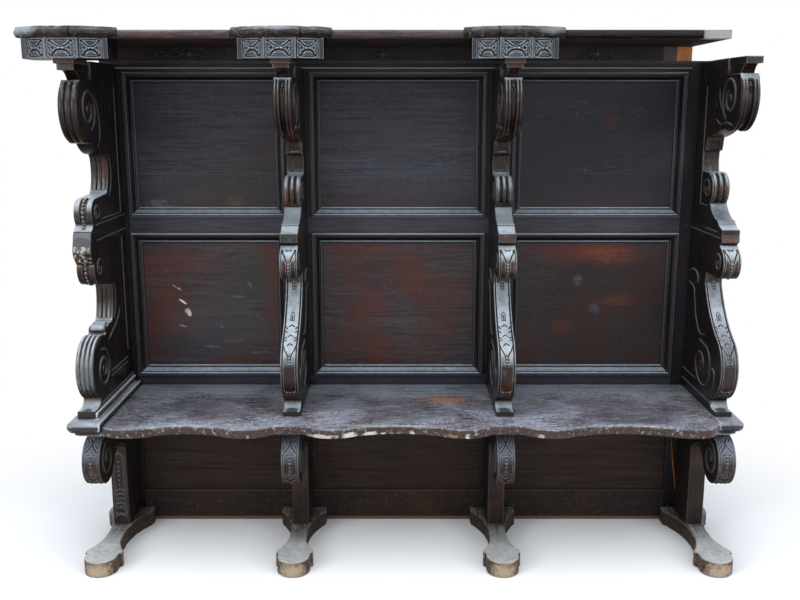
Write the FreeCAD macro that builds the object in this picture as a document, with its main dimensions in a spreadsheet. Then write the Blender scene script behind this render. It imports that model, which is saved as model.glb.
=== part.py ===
import FreeCAD, Part
import math
import os
import Sketcher
from types import SimpleNamespace
from FreeCAD import Placement, Rotation, Vector

# Three-seat choir stall in walnut: a panelled back, one long seat board on four sledge feet,
# four carved scroll wings between the seats and a canopy board carried on bracket blocks.
# X runs along the stall, -Y is the front, Z is up. A reach is measured forward from the front
# face of the back frame; the origin is on the floor under the middle of the whole stall.

SIZES = {
    # centre to centre of the wings, along the stall
    "bay_left": 606,
    "bay_middle": 659,
    "bay_right": 672,
    "wing_thick": 54,
    # levels
    "floor_gap": 5,                 # bottom rail clear of the floor
    "bottom_rail_height": 108,
    "foot_thick": 52,
    "seat_height": 500,
    "seat_thick": 28,
    "seat_rail_low": 20,            # seat rail below the seat board
    "seat_rail_rise": 34,           # seat rail above the seat board
    "lower_panel_height": 491,
    "mid_rail_height": 52,
    "upper_panel_height": 469,
    "top_rail_height": 35,
    "frieze_height": 44,
    "arm_rise": 556,                # top of the lower wings, above the seat
    # back frame
    "frame_thick": 30,
    "groove_wide": 8,               # plough groove that holds the panels
    "groove_deep": 12,
    "panel_slack": 3,               # room for the panels to swell
    "tenon_long": 40,
    "stile_left_wide": 72,
    "stile_right_wide": 95,
    "muntin_half": 42,
    "tongue_wide": 14,              # tongue along the back of each wing
    "tongue_deep": 10,
    "tongue_short": 30,             # the tongue stops short of the rails
    "peg_side": 8,                  # square draw pegs
    "peg_inset": 20,                # peg from the shoulder of its tenon
    # panel mouldings
    "upper_mould_wide": 33,
    "lower_mould_wide": 35,
    "mould_proud": 7,               # crown of the moulding in front of the frame
    "mould_crown": 12,              # width of the rounded crown
    "mould_round": 3,
    "mould_lip": 5,                 # thickness of the flat inner bead on the panel
    "mould_bead": 8,
    # seat board
    "seat_housing": 8,              # let into the seat rail
    "seat_facet_reach": 432,
    "seat_facet_half": 43,
    "seat_lobe_long": 160,
    "seat_lobe_swell": 29,
    "seat_lobe_end": 447,
    "seat_left_swell": 21,
    "seat_hollow": 20,
    "seat_right_swell": 11,
    "seat_corner_long": 54,
    "seat_corner_reach": 465,
    "seat_corner_swell": 10,
    "seat_corner_back": 397,
    # end sills
    "sill_side": 25,                # how far the sills stand out beyond the wings
    "sill_rise": 16,                # left sill above the seat
    "sill_right_thick": 45,
    "sill_round": 32,               # height of the rounded upper member
    "sill_nose": 9,
    "sill_step": 16,                # set-back of the under-moulding
    "sill_left_reach": 462,
    "sill_right_reach": 400,
    "sill_corner": 22,
    "sill_inner": 24,
    "sill_strip_wide": 8,
    "sill_strip_rise": 21,
    # feet
    "toe_radius": 51,
    "toe_reach": 373,
    "shoulder_front": 350,
    "shoulder_back": 334,
    "shoulder_half": 59,
    "foot_neck_reach": 225,
    "foot_neck_half": 29,
    "foot_neck_sag": 9,
    "ear_reach": 41,
    "ear_half": 77,
    "ear_sag": 16,
    "foot_tenon_wide": 30,
    "foot_tenon_deep": 12,
    "foot_tenon_low": 18,
    "foot_tenon_high": 40,
    # seat brackets
    "leg_reach": 145,
    "leg_drop": 170,
    "leg_sag": 24,
    "console_reach": 335,
    "console_drop": 138,            # middle of the console below the top of the seat
    "console_radius": 78,
    "console_foot": 262,
    "console_neck": 345,
    "console_top": 335,
    # canopy
    "canopy_thick": 24,
    "canopy_reach": 360,
    "canopy_stop": 58,              # the board stops short of the right wing's centre line
    "nosing_deep": 15,
    "nosing_high": 23,
    "nosing_swell": 6,
    "nosing_cut": 78,               # bare raw edge past the end of the right nosing
    "nosing_slant": 9,
    "block_height": 57,
    "block_half": 121,
    "block_strip": 13,
    "block_strip_reach": 388,
    "block_back": 290,
    "bow_end_reach": 384,
    "bow_swell": 6,
    "bow_reach": 411,
    "tablet_half": 46,
    "tablet_reach": 418,
    "cap_half": 144,
    "cap_thick": 31,
    "cap_end_reach": 378,
    "cap_swell": 57,
    "cap_roll": 11,
    "plate_thick": 13,
    "plate_half": 29,
    "plate_front": 404,
    "bead_height": 12,
    "bead_deep": 10,
    # wings
    "right_lift": 12,               # the right-hand upper wing stands this much higher
    "right_cap_rise": 10,
    "neck_half": 19,
    "neck_cap_half": 24,
    "neck_back": 255,
    "reed_wide": 9,                 # grooves round the great volutes
    "reed_deep": 5,
    "reed_apart": 20,
}

# The upper scroll of a wing from its foot upwards: flare, small volute, shank, lip, great
# volute, hollow neck and cap. Heights are above the joint with the lower wing.
STRAP_UPPER = {
    "joint_rise": 0,
    "foot_reach": 303,
    "foot_rise": 5,
    "flare_reach": 251,
    "flare_height": 28,
    "flare_sag": 5,
    "dish_reach": 171,
    "dish_sag": 10,
    "small_reach": 140,
    "small_height": 115,
    "small_radius": 52,
    "heel_reach": 80,
    "heel_height": 168,
    "shank_reach": 75,
    "shank_height": 228,
    "shank_sag": 5,
    "step_reach": 99,
    "step_height": 234,
    "lip_root_reach": 109,
    "lip_root_height": 274,
    "lip_reach": 224,
    "lip_height": 300,
    "lip_sag": 4,
    "volute_foot": 255,
    "volute_reach": 293,
    "volute_height": 394,
    "volute_radius": 95,
    "nape_reach": 346,
    "nape_height": 462,
    "nape_sag": 8,
    "cap_front": 385,
    "cap_reach": 396,
    "cap_under": 488,
    "volute_turn": 34,
    "volute_span": 150,
}
REEDED_UPPER = {
    "joint_rise": 14,
    "foot_reach": 343,
    "foot_rise": 3,
    "flare_reach": 329,
    "flare_height": 12,
    "flare_sag": 2,
    "dish_reach": 321,
    "dish_sag": 2,
    "small_reach": 286,
    "small_height": 51,
    "small_radius": 45,
    "heel_reach": 173,
    "heel_height": 102,
    "shank_reach": 156,
    "shank_height": 211,
    "shank_sag": 12,
    "step_reach": 160,
    "step_height": 218,
    "lip_root_reach": 166,
    "lip_root_height": 223,
    "lip_reach": 266,
    "lip_height": 257,
    "lip_sag": 11,
    "volute_foot": 283,
    "volute_reach": 305,
    "volute_height": 358,
    "volute_radius": 98,
    "nape_reach": 331,
    "nape_height": 441,
    "nape_sag": 8,
    "cap_front": 383,
    "cap_reach": 394,
    "cap_under": 467,
    "volute_turn": 24,
    "volute_span": 150,
}

# The lower scroll from the seat upwards: base, flare, belly, shank, arm volute and arm block.
# Heights are above the seat.
STRAP_LOWER = {
    "base_reach": 345,
    "base_high": 16,
    "flare_start": 312,
    "flare_reach": 295,
    "flare_height": 37,
    "flare_sag": 4,
    "belly_foot": 302,
    "belly_reach": 273,
    "belly_height": 145,
    "belly_radius": 104,
    "belly_top": 319,
    "shank_reach": 176,
    "shank_height": 390,
    "shank_sag": 16,
    "elbow_reach": 180,
    "elbow_height": 424,
    "arm_reach": 286,
    "arm_height": 470,
    "arm_radius": 48,
    "arm_top": 300,
    "notch_reach": 289,
    "notch_height": 526,
    "block_reach": 306,
    "block_height": 536,
    "block_top": 302,
}
REEDED_LOWER = {
    "base_reach": 416,
    "base_high": 40,
    "flare_start": 379,
    "flare_reach": 356,
    "flare_height": 55,
    "flare_sag": 4,
    "belly_foot": 354,
    "belly_reach": 314,
    "belly_height": 152,
    "belly_radius": 98,
    "belly_top": 300,
    "bud_reach": 276,
    "bud_height": 244,
    "bud_back": 200,
    "bud_top": 270,
    "bud_swell": 10,
    "shank_reach": 177,
    "shank_height": 385,
    "shank_sag": 9,
    "elbow_reach": 256,
    "elbow_height": 400,
    "arm_reach": 288,
    "arm_height": 455,
    "arm_radius": 50,
    "arm_top": 335,
    "notch_reach": 358,
    "notch_height": 496,
    "block_reach": 364,
    "block_height": 515,
    "block_top": 346,
}

doc = FreeCAD.newDocument("ChoirStall")
sheet = doc.addObject("Spreadsheet::Sheet", "Sizes")


class Size:
    """A length with its number and the spreadsheet formula that gives it."""

    def __init__(self, number, formula=None):
        self.number = float(number)
        self.formula = formula if formula else f"({float(number)!r})"

    def __add__(self, other):
        other = as_size(other)
        return Size(self.number + other.number, f"({self.formula} + {other.formula})")

    def __sub__(self, other):
        other = as_size(other)
        return Size(self.number - other.number, f"({self.formula} - {other.formula})")

    def __mul__(self, other):
        other = as_size(other)
        return Size(self.number * other.number, f"({self.formula} * {other.formula})")

    def __truediv__(self, other):
        other = as_size(other)
        return Size(self.number / other.number, f"({self.formula} / {other.formula})")

    def __neg__(self):
        return Size(-self.number, f"(0 - {self.formula})")

    def __radd__(self, other):
        return as_size(other) + self

    def __rsub__(self, other):
        return as_size(other) - self

    def root(self):
        return Size(math.sqrt(self.number), f"sqrt({self.formula})")


def as_size(value):
    return value if isinstance(value, Size) else Size(value)


def fill_sheet(tables):
    """Write each table of sizes to the sheet and return it bound to its cells."""
    row = 0
    bound = []
    for prefix, table in tables:
        named = {}
        for name, number in table.items():
            row += 1
            sheet.set(f"A{row}", prefix + name)
            sheet.set(f"B{row}", str(number))
            sheet.setAlias(f"B{row}", prefix + name)
            named[name] = Size(number, f"Sizes.{prefix}{name}")
        bound.append(SimpleNamespace(**named))
    return bound


dim, strap_upper, reeded_upper, strap_lower, reeded_lower = fill_sheet([
    ("", SIZES),
    ("strap_upper_", STRAP_UPPER),
    ("reeded_upper_", REEDED_UPPER),
    ("strap_lower_", STRAP_LOWER),
    ("reeded_lower_", REEDED_LOWER),
])
doc.recompute()

# ---- stations worked out from the driving sizes ----

half_wing = dim.wing_thick / 2
overall = dim.cap_half + dim.bay_left + dim.bay_middle + dim.bay_right + dim.ear_half
wing_x = [dim.cap_half - overall / 2]
for bay in (dim.bay_left, dim.bay_middle, dim.bay_right):
    wing_x.append(wing_x[-1] + bay)
lobe_rise = dim.seat_lobe_end - dim.seat_facet_reach
lobe_chord = (dim.seat_lobe_long * dim.seat_lobe_long + lobe_rise * lobe_rise).root()
lobe_swell = dim.seat_lobe_swell
lobe_radius = (lobe_chord * lobe_chord / 4 + lobe_swell * lobe_swell) / (lobe_swell * 2)
lobe_centre = (dim.seat_facet_reach + dim.seat_lobe_end) / 2 - (
    (lobe_radius - lobe_swell) * dim.seat_lobe_long / lobe_chord)
seat_front = lobe_centre + lobe_radius      # foremost point of the seat's lobes
face = (seat_front - dim.frame_thick) / 2
back = face + dim.frame_thick

seat_under = dim.seat_height - dim.seat_thick
bottom_rail_top = dim.floor_gap + dim.bottom_rail_height
seat_rail_bottom = seat_under - dim.seat_rail_low
seat_rail_top = dim.seat_height + dim.seat_rail_rise
mid_rail_bottom = seat_rail_top + dim.lower_panel_height
mid_rail_top = mid_rail_bottom + dim.mid_rail_height
top_rail_bottom = mid_rail_top + dim.upper_panel_height
top_rail_top = top_rail_bottom + dim.top_rail_height
canopy_under = top_rail_top + dim.frieze_height
block_under = canopy_under - dim.block_height
wing_top = block_under - dim.plate_thick
arm_level = dim.seat_height + dim.arm_rise

frame_left = wing_x[0] - half_wing
frame_right = wing_x[3] + half_wing
stile_left_edge = frame_left + dim.stile_left_wide
stile_right_edge = frame_right - dim.stile_right_wide
bay_names = ("left", "middle", "right")
bay_edges = [
    (stile_left_edge, wing_x[1] - dim.muntin_half),
    (wing_x[1] + dim.muntin_half, wing_x[2] - dim.muntin_half),
    (wing_x[2] + dim.muntin_half, stile_right_edge),
]
canopy_right = wing_x[3] - dim.canopy_stop
canopy_left = wing_x[0] - dim.block_half
groove = (face + (dim.frame_thick - dim.groove_wide) / 2, face + (dim.frame_thick + dim.groove_wide) / 2)
seat_left = wing_x[0] + half_wing + dim.sill_inner
seat_right = wing_x[3] - half_wing

pieces = []     # every finished sub-part, in the order it is made


def keep(piece, name):
    piece.Label = name
    pieces.append(piece)
    return piece


# ---- straight members: boxes joined and cut ----

def box(name, x_span, y_span, z_span):
    """A box between two stations on each axis."""
    made = doc.addObject("Part::Box", name)
    for side, span in (("Length", x_span), ("Width", y_span), ("Height", z_span)):
        made.setExpression(side, (as_size(span[1]) - span[0]).formula)
    for axis, span in (("x", x_span), ("y", y_span), ("z", z_span)):
        made.setExpression(f"Placement.Base.{axis}", as_size(span[0]).formula)
    return made


def peg(name, x, z):
    """A square draw peg, or the hole for it, through the thickness of the frame."""
    half = dim.peg_side / 2
    return box(name, (x - half, x + half), (face, back), (z - half, z + half))


def member(name, adds, cuts):
    """One frame member: its boxes fused, then its grooves, mortises and holes cut."""
    solid = adds[0]
    if len(adds) > 1:
        solid = doc.addObject("Part::MultiFuse", name + "_stock")
        solid.Shapes = adds
    tool = cuts[0]
    if len(cuts) > 1:
        tool = doc.addObject("Part::MultiFuse", name + "_tools")
        tool.Shapes = cuts
    cut = doc.addObject("Part::Cut", name + "_cut")
    cut.Base = solid
    cut.Tool = tool
    return keep(cut, name)


# level of each rail, and whether it is ploughed below and above
rails = {
    "bottom_rail": (dim.floor_gap, bottom_rail_top, False, True),
    "seat_rail": (seat_rail_bottom, seat_rail_top, True, True),
    "mid_rail": (mid_rail_bottom, mid_rail_top, True, True),
    "top_rail": (top_rail_bottom, top_rail_top, True, False),
}
# the three rows of panels, between the rails
rows = {
    "plinth": (bottom_rail_top, seat_rail_bottom),
    "lower": (seat_rail_top, mid_rail_bottom),
    "upper": (mid_rail_top, top_rail_bottom),
}


def tenon_levels(rail):
    low, high, ploughed_below, ploughed_above = rails[rail]
    return (low + dim.groove_deep if ploughed_below else low,
            high - dim.groove_deep if ploughed_above else high)


def peg_stations(rail):
    low, high = tenon_levels(rail)
    middle = (low + high) / 2
    return [(stile_left_edge - dim.peg_inset, middle), (stile_right_edge + dim.peg_inset, middle)]


def tongue_levels(row):
    low, high = rows[row]
    return (low + dim.tongue_short, high - dim.tongue_short)


def foot_socket(name, x):
    """Socket for the tenon at the back of a foot."""
    half = dim.foot_tenon_wide / 2
    return box(name, (x - half, x + half), (face, face + dim.foot_tenon_deep),
               (dim.foot_tenon_low, dim.foot_tenon_high))


def make_rail(name):
    low, high, ploughed_below, ploughed_above = rails[name]
    length = (stile_left_edge, stile_right_edge)
    adds = [
        box(name + "_body", length, (face, back), (low, high)),
        box(name + "_tenon_left", (stile_left_edge - dim.tenon_long, stile_left_edge),
            groove, tenon_levels(name)),
        box(name + "_tenon_right", (stile_right_edge, stile_right_edge + dim.tenon_long),
            groove, tenon_levels(name)),
    ]
    cuts = []
    if ploughed_below:
        cuts.append(box(name + "_groove_below", length, groove, (low, low + dim.groove_deep)))
    if ploughed_above:
        cuts.append(box(name + "_groove_above", length, groove, (high - dim.groove_deep, high)))
    if name == "seat_rail":
        cuts.append(box(name + "_housing", length, (face, face + dim.seat_housing),
                        (seat_under, dim.seat_height)))
    if name == "bottom_rail":
        for number in (1, 2):
            cuts.append(foot_socket(f"{name}_socket_{number}", wing_x[number]))
    for number, (x, z) in enumerate(peg_stations(name)):
        cuts.append(peg(f"{name}_peg_hole_{number}", x, z))
    member(name, adds, cuts)


def make_muntin(row, side, x):
    """A short upright between two rails, its tenons in their plough grooves."""
    name = f"{row}_muntin_{side}"
    low, high = rows[row]
    left = x - dim.muntin_half
    right = x + dim.muntin_half
    adds = [
        box(name + "_body", (left, right), (face, back), (low, high)),
        box(name + "_tenon", (left + dim.groove_deep, right - dim.groove_deep), groove,
            (low - dim.groove_deep, high + dim.groove_deep)),
    ]
    cuts = [
        box(name + "_groove_left", (left, left + dim.groove_deep), groove, (low, high)),
        box(name + "_groove_right", (right - dim.groove_deep, right), groove, (low, high)),
        box(name + "_tongue_slot", (x - dim.tongue_wide / 2, x + dim.tongue_wide / 2),
            (face, face + dim.tongue_deep), tongue_levels(row)),
    ]
    member(name, adds, cuts)


def make_end_stile(name, span, inner, towards_bay, wing, peg_side):
    """An upright from the floor to the frieze, ploughed and mortised along its inner edge."""
    adds = [box(name + "_body", span, (face, back), (0, top_rail_top))]
    plough = sorted((inner, inner - dim.groove_deep * towards_bay), key=lambda station: station.number)
    mortise = sorted((inner, inner - dim.tenon_long * towards_bay), key=lambda station: station.number)
    cuts = [
        box(name + "_groove", plough, groove, (bottom_rail_top, top_rail_bottom)),
        foot_socket(name + "_socket", wing),
    ]
    for rail in rails:
        cuts.append(box(f"{name}_mortise_{rail}", mortise, groove, tenon_levels(rail)))
        x, z = peg_stations(rail)[peg_side]
        cuts.append(peg(f"{name}_peg_hole_{rail}", x, z))
    for row in rows:
        cuts.append(box(f"{name}_tongue_slot_{row}",
                        (wing - dim.tongue_wide / 2, wing + dim.tongue_wide / 2),
                        (face, face + dim.tongue_deep), tongue_levels(row)))
    member(name, adds, cuts)


def make_frame():
    make_end_stile("end_stile_left", (frame_left, stile_left_edge), stile_left_edge, 1, wing_x[0], 0)
    make_end_stile("end_stile_right", (stile_right_edge, frame_right), stile_right_edge, -1, wing_x[3], 1)
    for name in rails:
        make_rail(name)
    for row in rows:
        make_muntin(row, "left", wing_x[1])
        make_muntin(row, "right", wing_x[2])
    keep(box("frieze", (frame_left, canopy_right), (face, back), (top_rail_top, canopy_under)),
         "frieze_board")


def make_panels():
    """Nine flat panels, loose in the plough grooves of the frame."""
    lap = dim.groove_deep - dim.panel_slack
    for row, (low, high) in rows.items():
        for bay_name, (left, right) in zip(bay_names, bay_edges):
            keep(box(f"{row}_board_{bay_name}", (left - lap, right + lap), groove, (low - lap, high + lap)),
                 f"{row}_panel_{bay_name}")


def make_pegs():
    pegs = []
    for rail in rails:
        for number, (x, z) in enumerate(peg_stations(rail)):
            pegs.append(peg(f"{rail}_peg_{number}", x, z))
    group = doc.addObject("Part::Compound", "peg_group")
    group.Links = pegs
    keep(group, "frame_pegs")


# ---- mitred panel mouldings ----

def moulding_section(corner, across, wide):
    """Section at a corner of the opening: rounded crown, step, slope, and a bead on the panel."""
    ground = groove[0].number
    lip = ground - dim.mould_lip.number
    swell = dim.mould_round.number
    shoulder = face.number - dim.mould_proud.number + swell
    crown = dim.mould_crown.number

    def at(inward, y):
        return corner + across * inward + Vector(0, y, 0)

    crest = Part.Arc(at(0, shoulder), at(crown / 2, shoulder - swell), at(crown, shoulder))
    below = [at(crown, shoulder), at(crown, shoulder + swell), at(wide - dim.mould_bead.number, lip),
             at(wide, lip), at(wide, ground), at(0, ground), at(0, shoulder)]
    return Part.Face(Part.Wire([crest.toShape()] + Part.makePolygon(below).Edges))


def mitred_strip(start, end, across, wide):
    """One strip along the opening's edge, mitred at both ends."""
    along = (end - start).normalize()
    strip = moulding_section(start, across, wide).extrude(end - start)
    slope = across * wide
    corners = [start, end, end + slope - along * wide, start + slope + along * wide, start]
    mask = Part.Face(Part.makePolygon(corners)).extrude(Vector(0, back.number, 0))
    mask.translate(Vector(0, face.number - dim.frame_thick.number, 0))
    return strip.common(mask)


def make_mouldings():
    for row, width in (("lower", dim.lower_mould_wide), ("upper", dim.upper_mould_wide)):
        low, high = (level.number for level in rows[row])
        for bay_name, edges in zip(bay_names, bay_edges):
            left, right = (edge.number for edge in edges)
            corners = [
                Vector(left, 0, low),
                Vector(right, 0, low),
                Vector(right, 0, high),
                Vector(left, 0, high),
            ]
            inwards = [Vector(0, 0, 1), Vector(-1, 0, 0), Vector(0, 0, -1), Vector(1, 0, 0)]
            strips = []
            for number, inward in enumerate(inwards):
                following = corners[(number + 1) % len(corners)]
                strips.append(mitred_strip(corners[number], following, inward, width.number))
            made = doc.addObject("Part::Feature", f"{row}_strips_{bay_name}")
            made.Shape = Part.makeCompound(strips)
            keep(made, f"{row}_moulding_{bay_name}")


# ---- shaped pieces: sketched outlines, padded ----

def new_body(name, x, y, z):
    body = doc.addObject("PartDesign::Body", name + "_body")
    for axis, station in (("x", x), ("y", y), ("z", z)):
        body.setExpression(f"Placement.Base.{axis}", as_size(station).formula)
    return body


def new_sketch(body, name, role):
    sketch = body.newObject("Sketcher::SketchObject", name)
    plane = next(feature for feature in body.Origin.OriginFeatures if feature.Role == role)
    sketch.AttachmentSupport = [(plane, "")]
    sketch.MapMode = "FlatFace"
    return sketch


def arc_radius(start, end, sag):
    run = end[0] - start[0]
    rise = end[1] - start[1]
    return ((run * run + rise * rise) / 4 + sag * sag) / (sag * 2)


# how a sketch names the points that a hold takes: an edge's two ends, and the origin
at_start = 1
at_end = 2
origin = (-1, 1)


def draw(sketch, outline):
    """Draw a closed outline held by two distances to each corner and a radius for each arc.

    A corner is (u, v), or (u, v, sag) where the edge that arrives at it swells outwards by sag
    and hollows inwards where sag is below nought.
    """
    corners = [(as_size(corner[0]), as_size(corner[1])) for corner in outline]
    count = len(corners)
    area = 0
    for number in range(count):
        area += corners[number - 1][0].number * corners[number][1].number
        area -= corners[number][0].number * corners[number - 1][1].number
    first = sketch.GeometryCount
    edges = []
    heads = []      # which end of each edge is at its own corner
    radii = []
    for number in range(count):
        start = Vector(corners[number - 1][0].number, corners[number - 1][1].number, 0)
        end = Vector(corners[number][0].number, corners[number][1].number, 0)
        if len(outline[number]) < 3:
            edges.append(Part.LineSegment(start, end))
            heads.append(at_end)
            radii.append(None)
            continue
        sag = as_size(outline[number][2])
        outward = 1 if area > 0 else -1
        to_right = sag.number * outward
        radius = arc_radius(corners[number - 1], corners[number], sag if sag.number > 0 else -sag)
        chord = end - start
        left = Vector(-chord.y, chord.x, 0).normalize()
        side = 1 if to_right > 0 else -1
        centre = (start + end) / 2 + left * side * (radius.number - abs(sag.number))
        ring = Part.Circle(centre, Vector(0, 0, 1), radius.number)
        low, high = (start, end) if side > 0 else (end, start)
        low_angle = math.atan2(low.y - centre.y, low.x - centre.x)
        high_angle = math.atan2(high.y - centre.y, high.x - centre.x)
        if high_angle < low_angle:
            high_angle += math.tau
        edges.append(Part.ArcOfCircle(ring, low_angle, high_angle))
        heads.append(at_end if side > 0 else at_start)
        radii.append(radius)
    sketch.addGeometry(edges, False)
    holds = []
    formulas = []
    for number in range(count):
        following = (number + 1) % count
        tail = at_start if heads[following] == at_end else at_end
        holds.append(Sketcher.Constraint("Coincident", first + number, heads[number],
                                         first + following, tail))
        formulas.append(None)
        for kind, value in zip(("DistanceX", "DistanceY"), corners[number]):
            holds.append(Sketcher.Constraint(kind, *origin, first + number, heads[number], value.number))
            formulas.append(value.formula)
        if radii[number] is not None:
            holds.append(Sketcher.Constraint("Radius", first + number, radii[number].number))
            formulas.append(radii[number].formula)
    start_index = sketch.ConstraintCount
    sketch.addConstraint(holds)
    for number, formula in enumerate(formulas):
        if formula is not None:
            sketch.setExpression(f"Constraints[{start_index + number}]", formula)


def mirrored(half):
    """Close a half outline, given from the back to the front, with its mirror image."""
    outline = list(half)
    if as_size(half[-1][0]).number != 0:
        outline.append((-as_size(half[-1][0]), half[-1][1]))
    for number in range(len(half) - 1, 0, -1):
        outline.append((-as_size(half[number - 1][0]), half[number - 1][1]) + tuple(half[number][2:]))
    return outline


def pad(body, name, role, outline, length, symmetric=False, lift=None):
    sketch = new_sketch(body, name + "_outline", role)
    if lift is not None:
        sketch.setExpression("AttachmentOffset.Base.z", as_size(lift).formula)
    draw(sketch, outline)
    made = body.newObject("PartDesign::Pad", name + "_pad")
    made.Profile = sketch
    made.setExpression("Length", as_size(length).formula)
    made.Midplane = symmetric
    return made


def ease_edges(body, name, base, width, wanted):
    """Chamfer the edges whose middle passes the test."""
    doc.recompute()
    names = []
    for number, edge in enumerate(base.Shape.Edges, start=1):
        middle = edge.valueAt((edge.FirstParameter + edge.LastParameter) / 2)
        if wanted(middle):
            names.append(f"Edge{number}")
    made = body.newObject("PartDesign::Chamfer", name)
    made.Base = (base, names)
    made.setExpression("Size", width.formula)
    return made


same_place = 0.01      # lengths closer than this are taken as equal when edges are picked


def near(value, size):
    return abs(value - as_size(size).number) < same_place


def quarter(radius):
    """How far a quarter circle of this radius stands out from its chord."""
    return radius * (1 - math.cos(math.radians(45)))


def on_round(reach, centre_reach, centre_height, radius, above):
    """Height at which a round of the given centre and radius is crossed at a reach."""
    offset = reach - centre_reach
    rise = (radius * radius - offset * offset).root()
    return centre_height + rise if above else centre_height - rise


def bulge(start, end, radius):
    """Sag of the short arc of a given radius between two (reach, height) points."""
    run = end[0] - start[0]
    rise = end[1] - start[1]
    return radius - (radius * radius - (run * run + rise * rise) / 4).root()


def round_corners(stations, radius):
    """Corners (reach, height, sag) of a round through some stations on it; the first has no arc."""
    corners = [stations[0]]
    for start, end in zip(stations, stations[1:]):
        corners.append((end[0], end[1], bulge(start, end, radius)))
    return corners


def forward(outline):
    """Turn reaches into sketch coordinates; the front is on the negative side."""
    return [(-as_size(corner[0]),) + tuple(corner[1:]) for corner in outline]


def reeds(body, name, reach, height, radius, turn, span):
    """Two grooves round the edge of a volute, over span degrees about turn degrees below level."""
    sketch = new_sketch(body, name + "_section", "XY_Plane")
    sketch.AttachmentOffset = Placement(Vector(0, -reach.number, height.number),
                                        Rotation(Vector(1, 0, 0), 180 + turn.number))
    sketch.setExpression("AttachmentOffset.Base.y", (-reach).formula)
    sketch.setExpression("AttachmentOffset.Base.z", height.formula)
    mouth = radius + dim.reed_deep
    bottom = radius - dim.reed_deep
    for offset in (dim.reed_apart / 2, -dim.reed_apart / 2):
        draw(sketch, [(offset - dim.reed_wide, mouth), (offset, bottom), (offset + dim.reed_wide, mouth)])
    made = body.newObject("PartDesign::Groove", name + "_groove")
    made.Profile = sketch
    made.ReferenceAxis = (sketch, ["H_Axis"])
    made.setExpression("Angle", span.formula)
    made.Midplane = True
    return made


def tongue(body, name, levels, base):
    low, high = levels
    outline = [
        (0, low - base),
        (dim.tongue_deep, low - base),
        (dim.tongue_deep, high - base),
        (0, high - base),
    ]
    pad(body, name + "_tongue", "YZ_Plane", outline, dim.tongue_wide, symmetric=True)


# ---- wings ----

def upper_outline(shape, bottom, top):
    """Side outline of an upper wing as (reach, height) corners, up the front and back to the frame."""
    small_top = shape.small_height + shape.small_radius
    dish = (shape.dish_reach, on_round(shape.dish_reach, shape.small_reach, shape.small_height,
                                       shape.small_radius, above=False))
    small = round_corners([dish, (shape.small_reach + shape.small_radius, shape.small_height),
                           (shape.small_reach, small_top)], shape.small_radius)
    foot = (shape.volute_foot, on_round(shape.volute_foot, shape.volute_reach, shape.volute_height,
                                        shape.volute_radius, above=False))
    neck_rise = shape.nape_height - shape.volute_height
    nape = (shape.volute_reach + (shape.volute_radius * shape.volute_radius - neck_rise * neck_rise).root(),
            shape.nape_height)
    volute = round_corners([foot, (shape.volute_reach, shape.volute_height - shape.volute_radius),
                            (shape.volute_reach + shape.volute_radius, shape.volute_height), nape],
                           shape.volute_radius)
    return [
        (0, bottom),
        (shape.foot_reach, bottom),
        (shape.foot_reach, shape.foot_rise),
        (shape.flare_reach, shape.flare_height, -shape.flare_sag),
        (small[0][0], small[0][1], -shape.dish_sag),
        *small[1:],
        (shape.heel_reach, shape.heel_height),
        (shape.shank_reach, shape.shank_height, -shape.shank_sag),
        (shape.step_reach, shape.step_height),
        (shape.lip_root_reach, shape.lip_root_height),
        (shape.lip_reach, shape.lip_height, shape.lip_sag),
        *volute,
        (shape.nape_reach, shape.nape_height),
        (shape.cap_front, shape.cap_under, -shape.nape_sag),
        (shape.cap_reach, shape.cap_under),
        (shape.cap_reach, top),
        (0, top),
    ]


def make_upper_wing(name, shape, x, lift, cap_rise):
    base = arm_level + shape.joint_rise + lift
    top = wing_top - base + lift + cap_rise
    body = new_body(name, x, face, base)
    pad(body, name, "YZ_Plane", forward(upper_outline(shape, -lift, top)), dim.wing_thick, symmetric=True)
    tongue(body, name, tongue_levels("upper"), base)
    reeds(body, name + "_volute", shape.volute_reach, shape.volute_height, shape.volute_radius,
          shape.volute_turn, shape.volute_span)
    cheeks = new_sketch(body, name + "_cheeks", "XZ_Plane")
    front = shape.cap_reach + dim.wing_thick
    cheeks.setExpression("AttachmentOffset.Base.z", front.formula)
    above = top + dim.wing_thick
    for side in (1, -1):
        outside = dim.wing_thick * side
        draw(cheeks, [(outside, shape.nape_height), (dim.neck_half * side, shape.nape_height),
                      (dim.neck_half * side, shape.cap_under), (dim.neck_cap_half * side, shape.cap_under),
                      (dim.neck_cap_half * side, above), (outside, above)])
    cut = body.newObject("PartDesign::Pocket", name + "_cheek_cut")
    cut.Profile = cheeks
    cut.setExpression("Length", (front - dim.neck_back).formula)
    keep(body, name)


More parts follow.
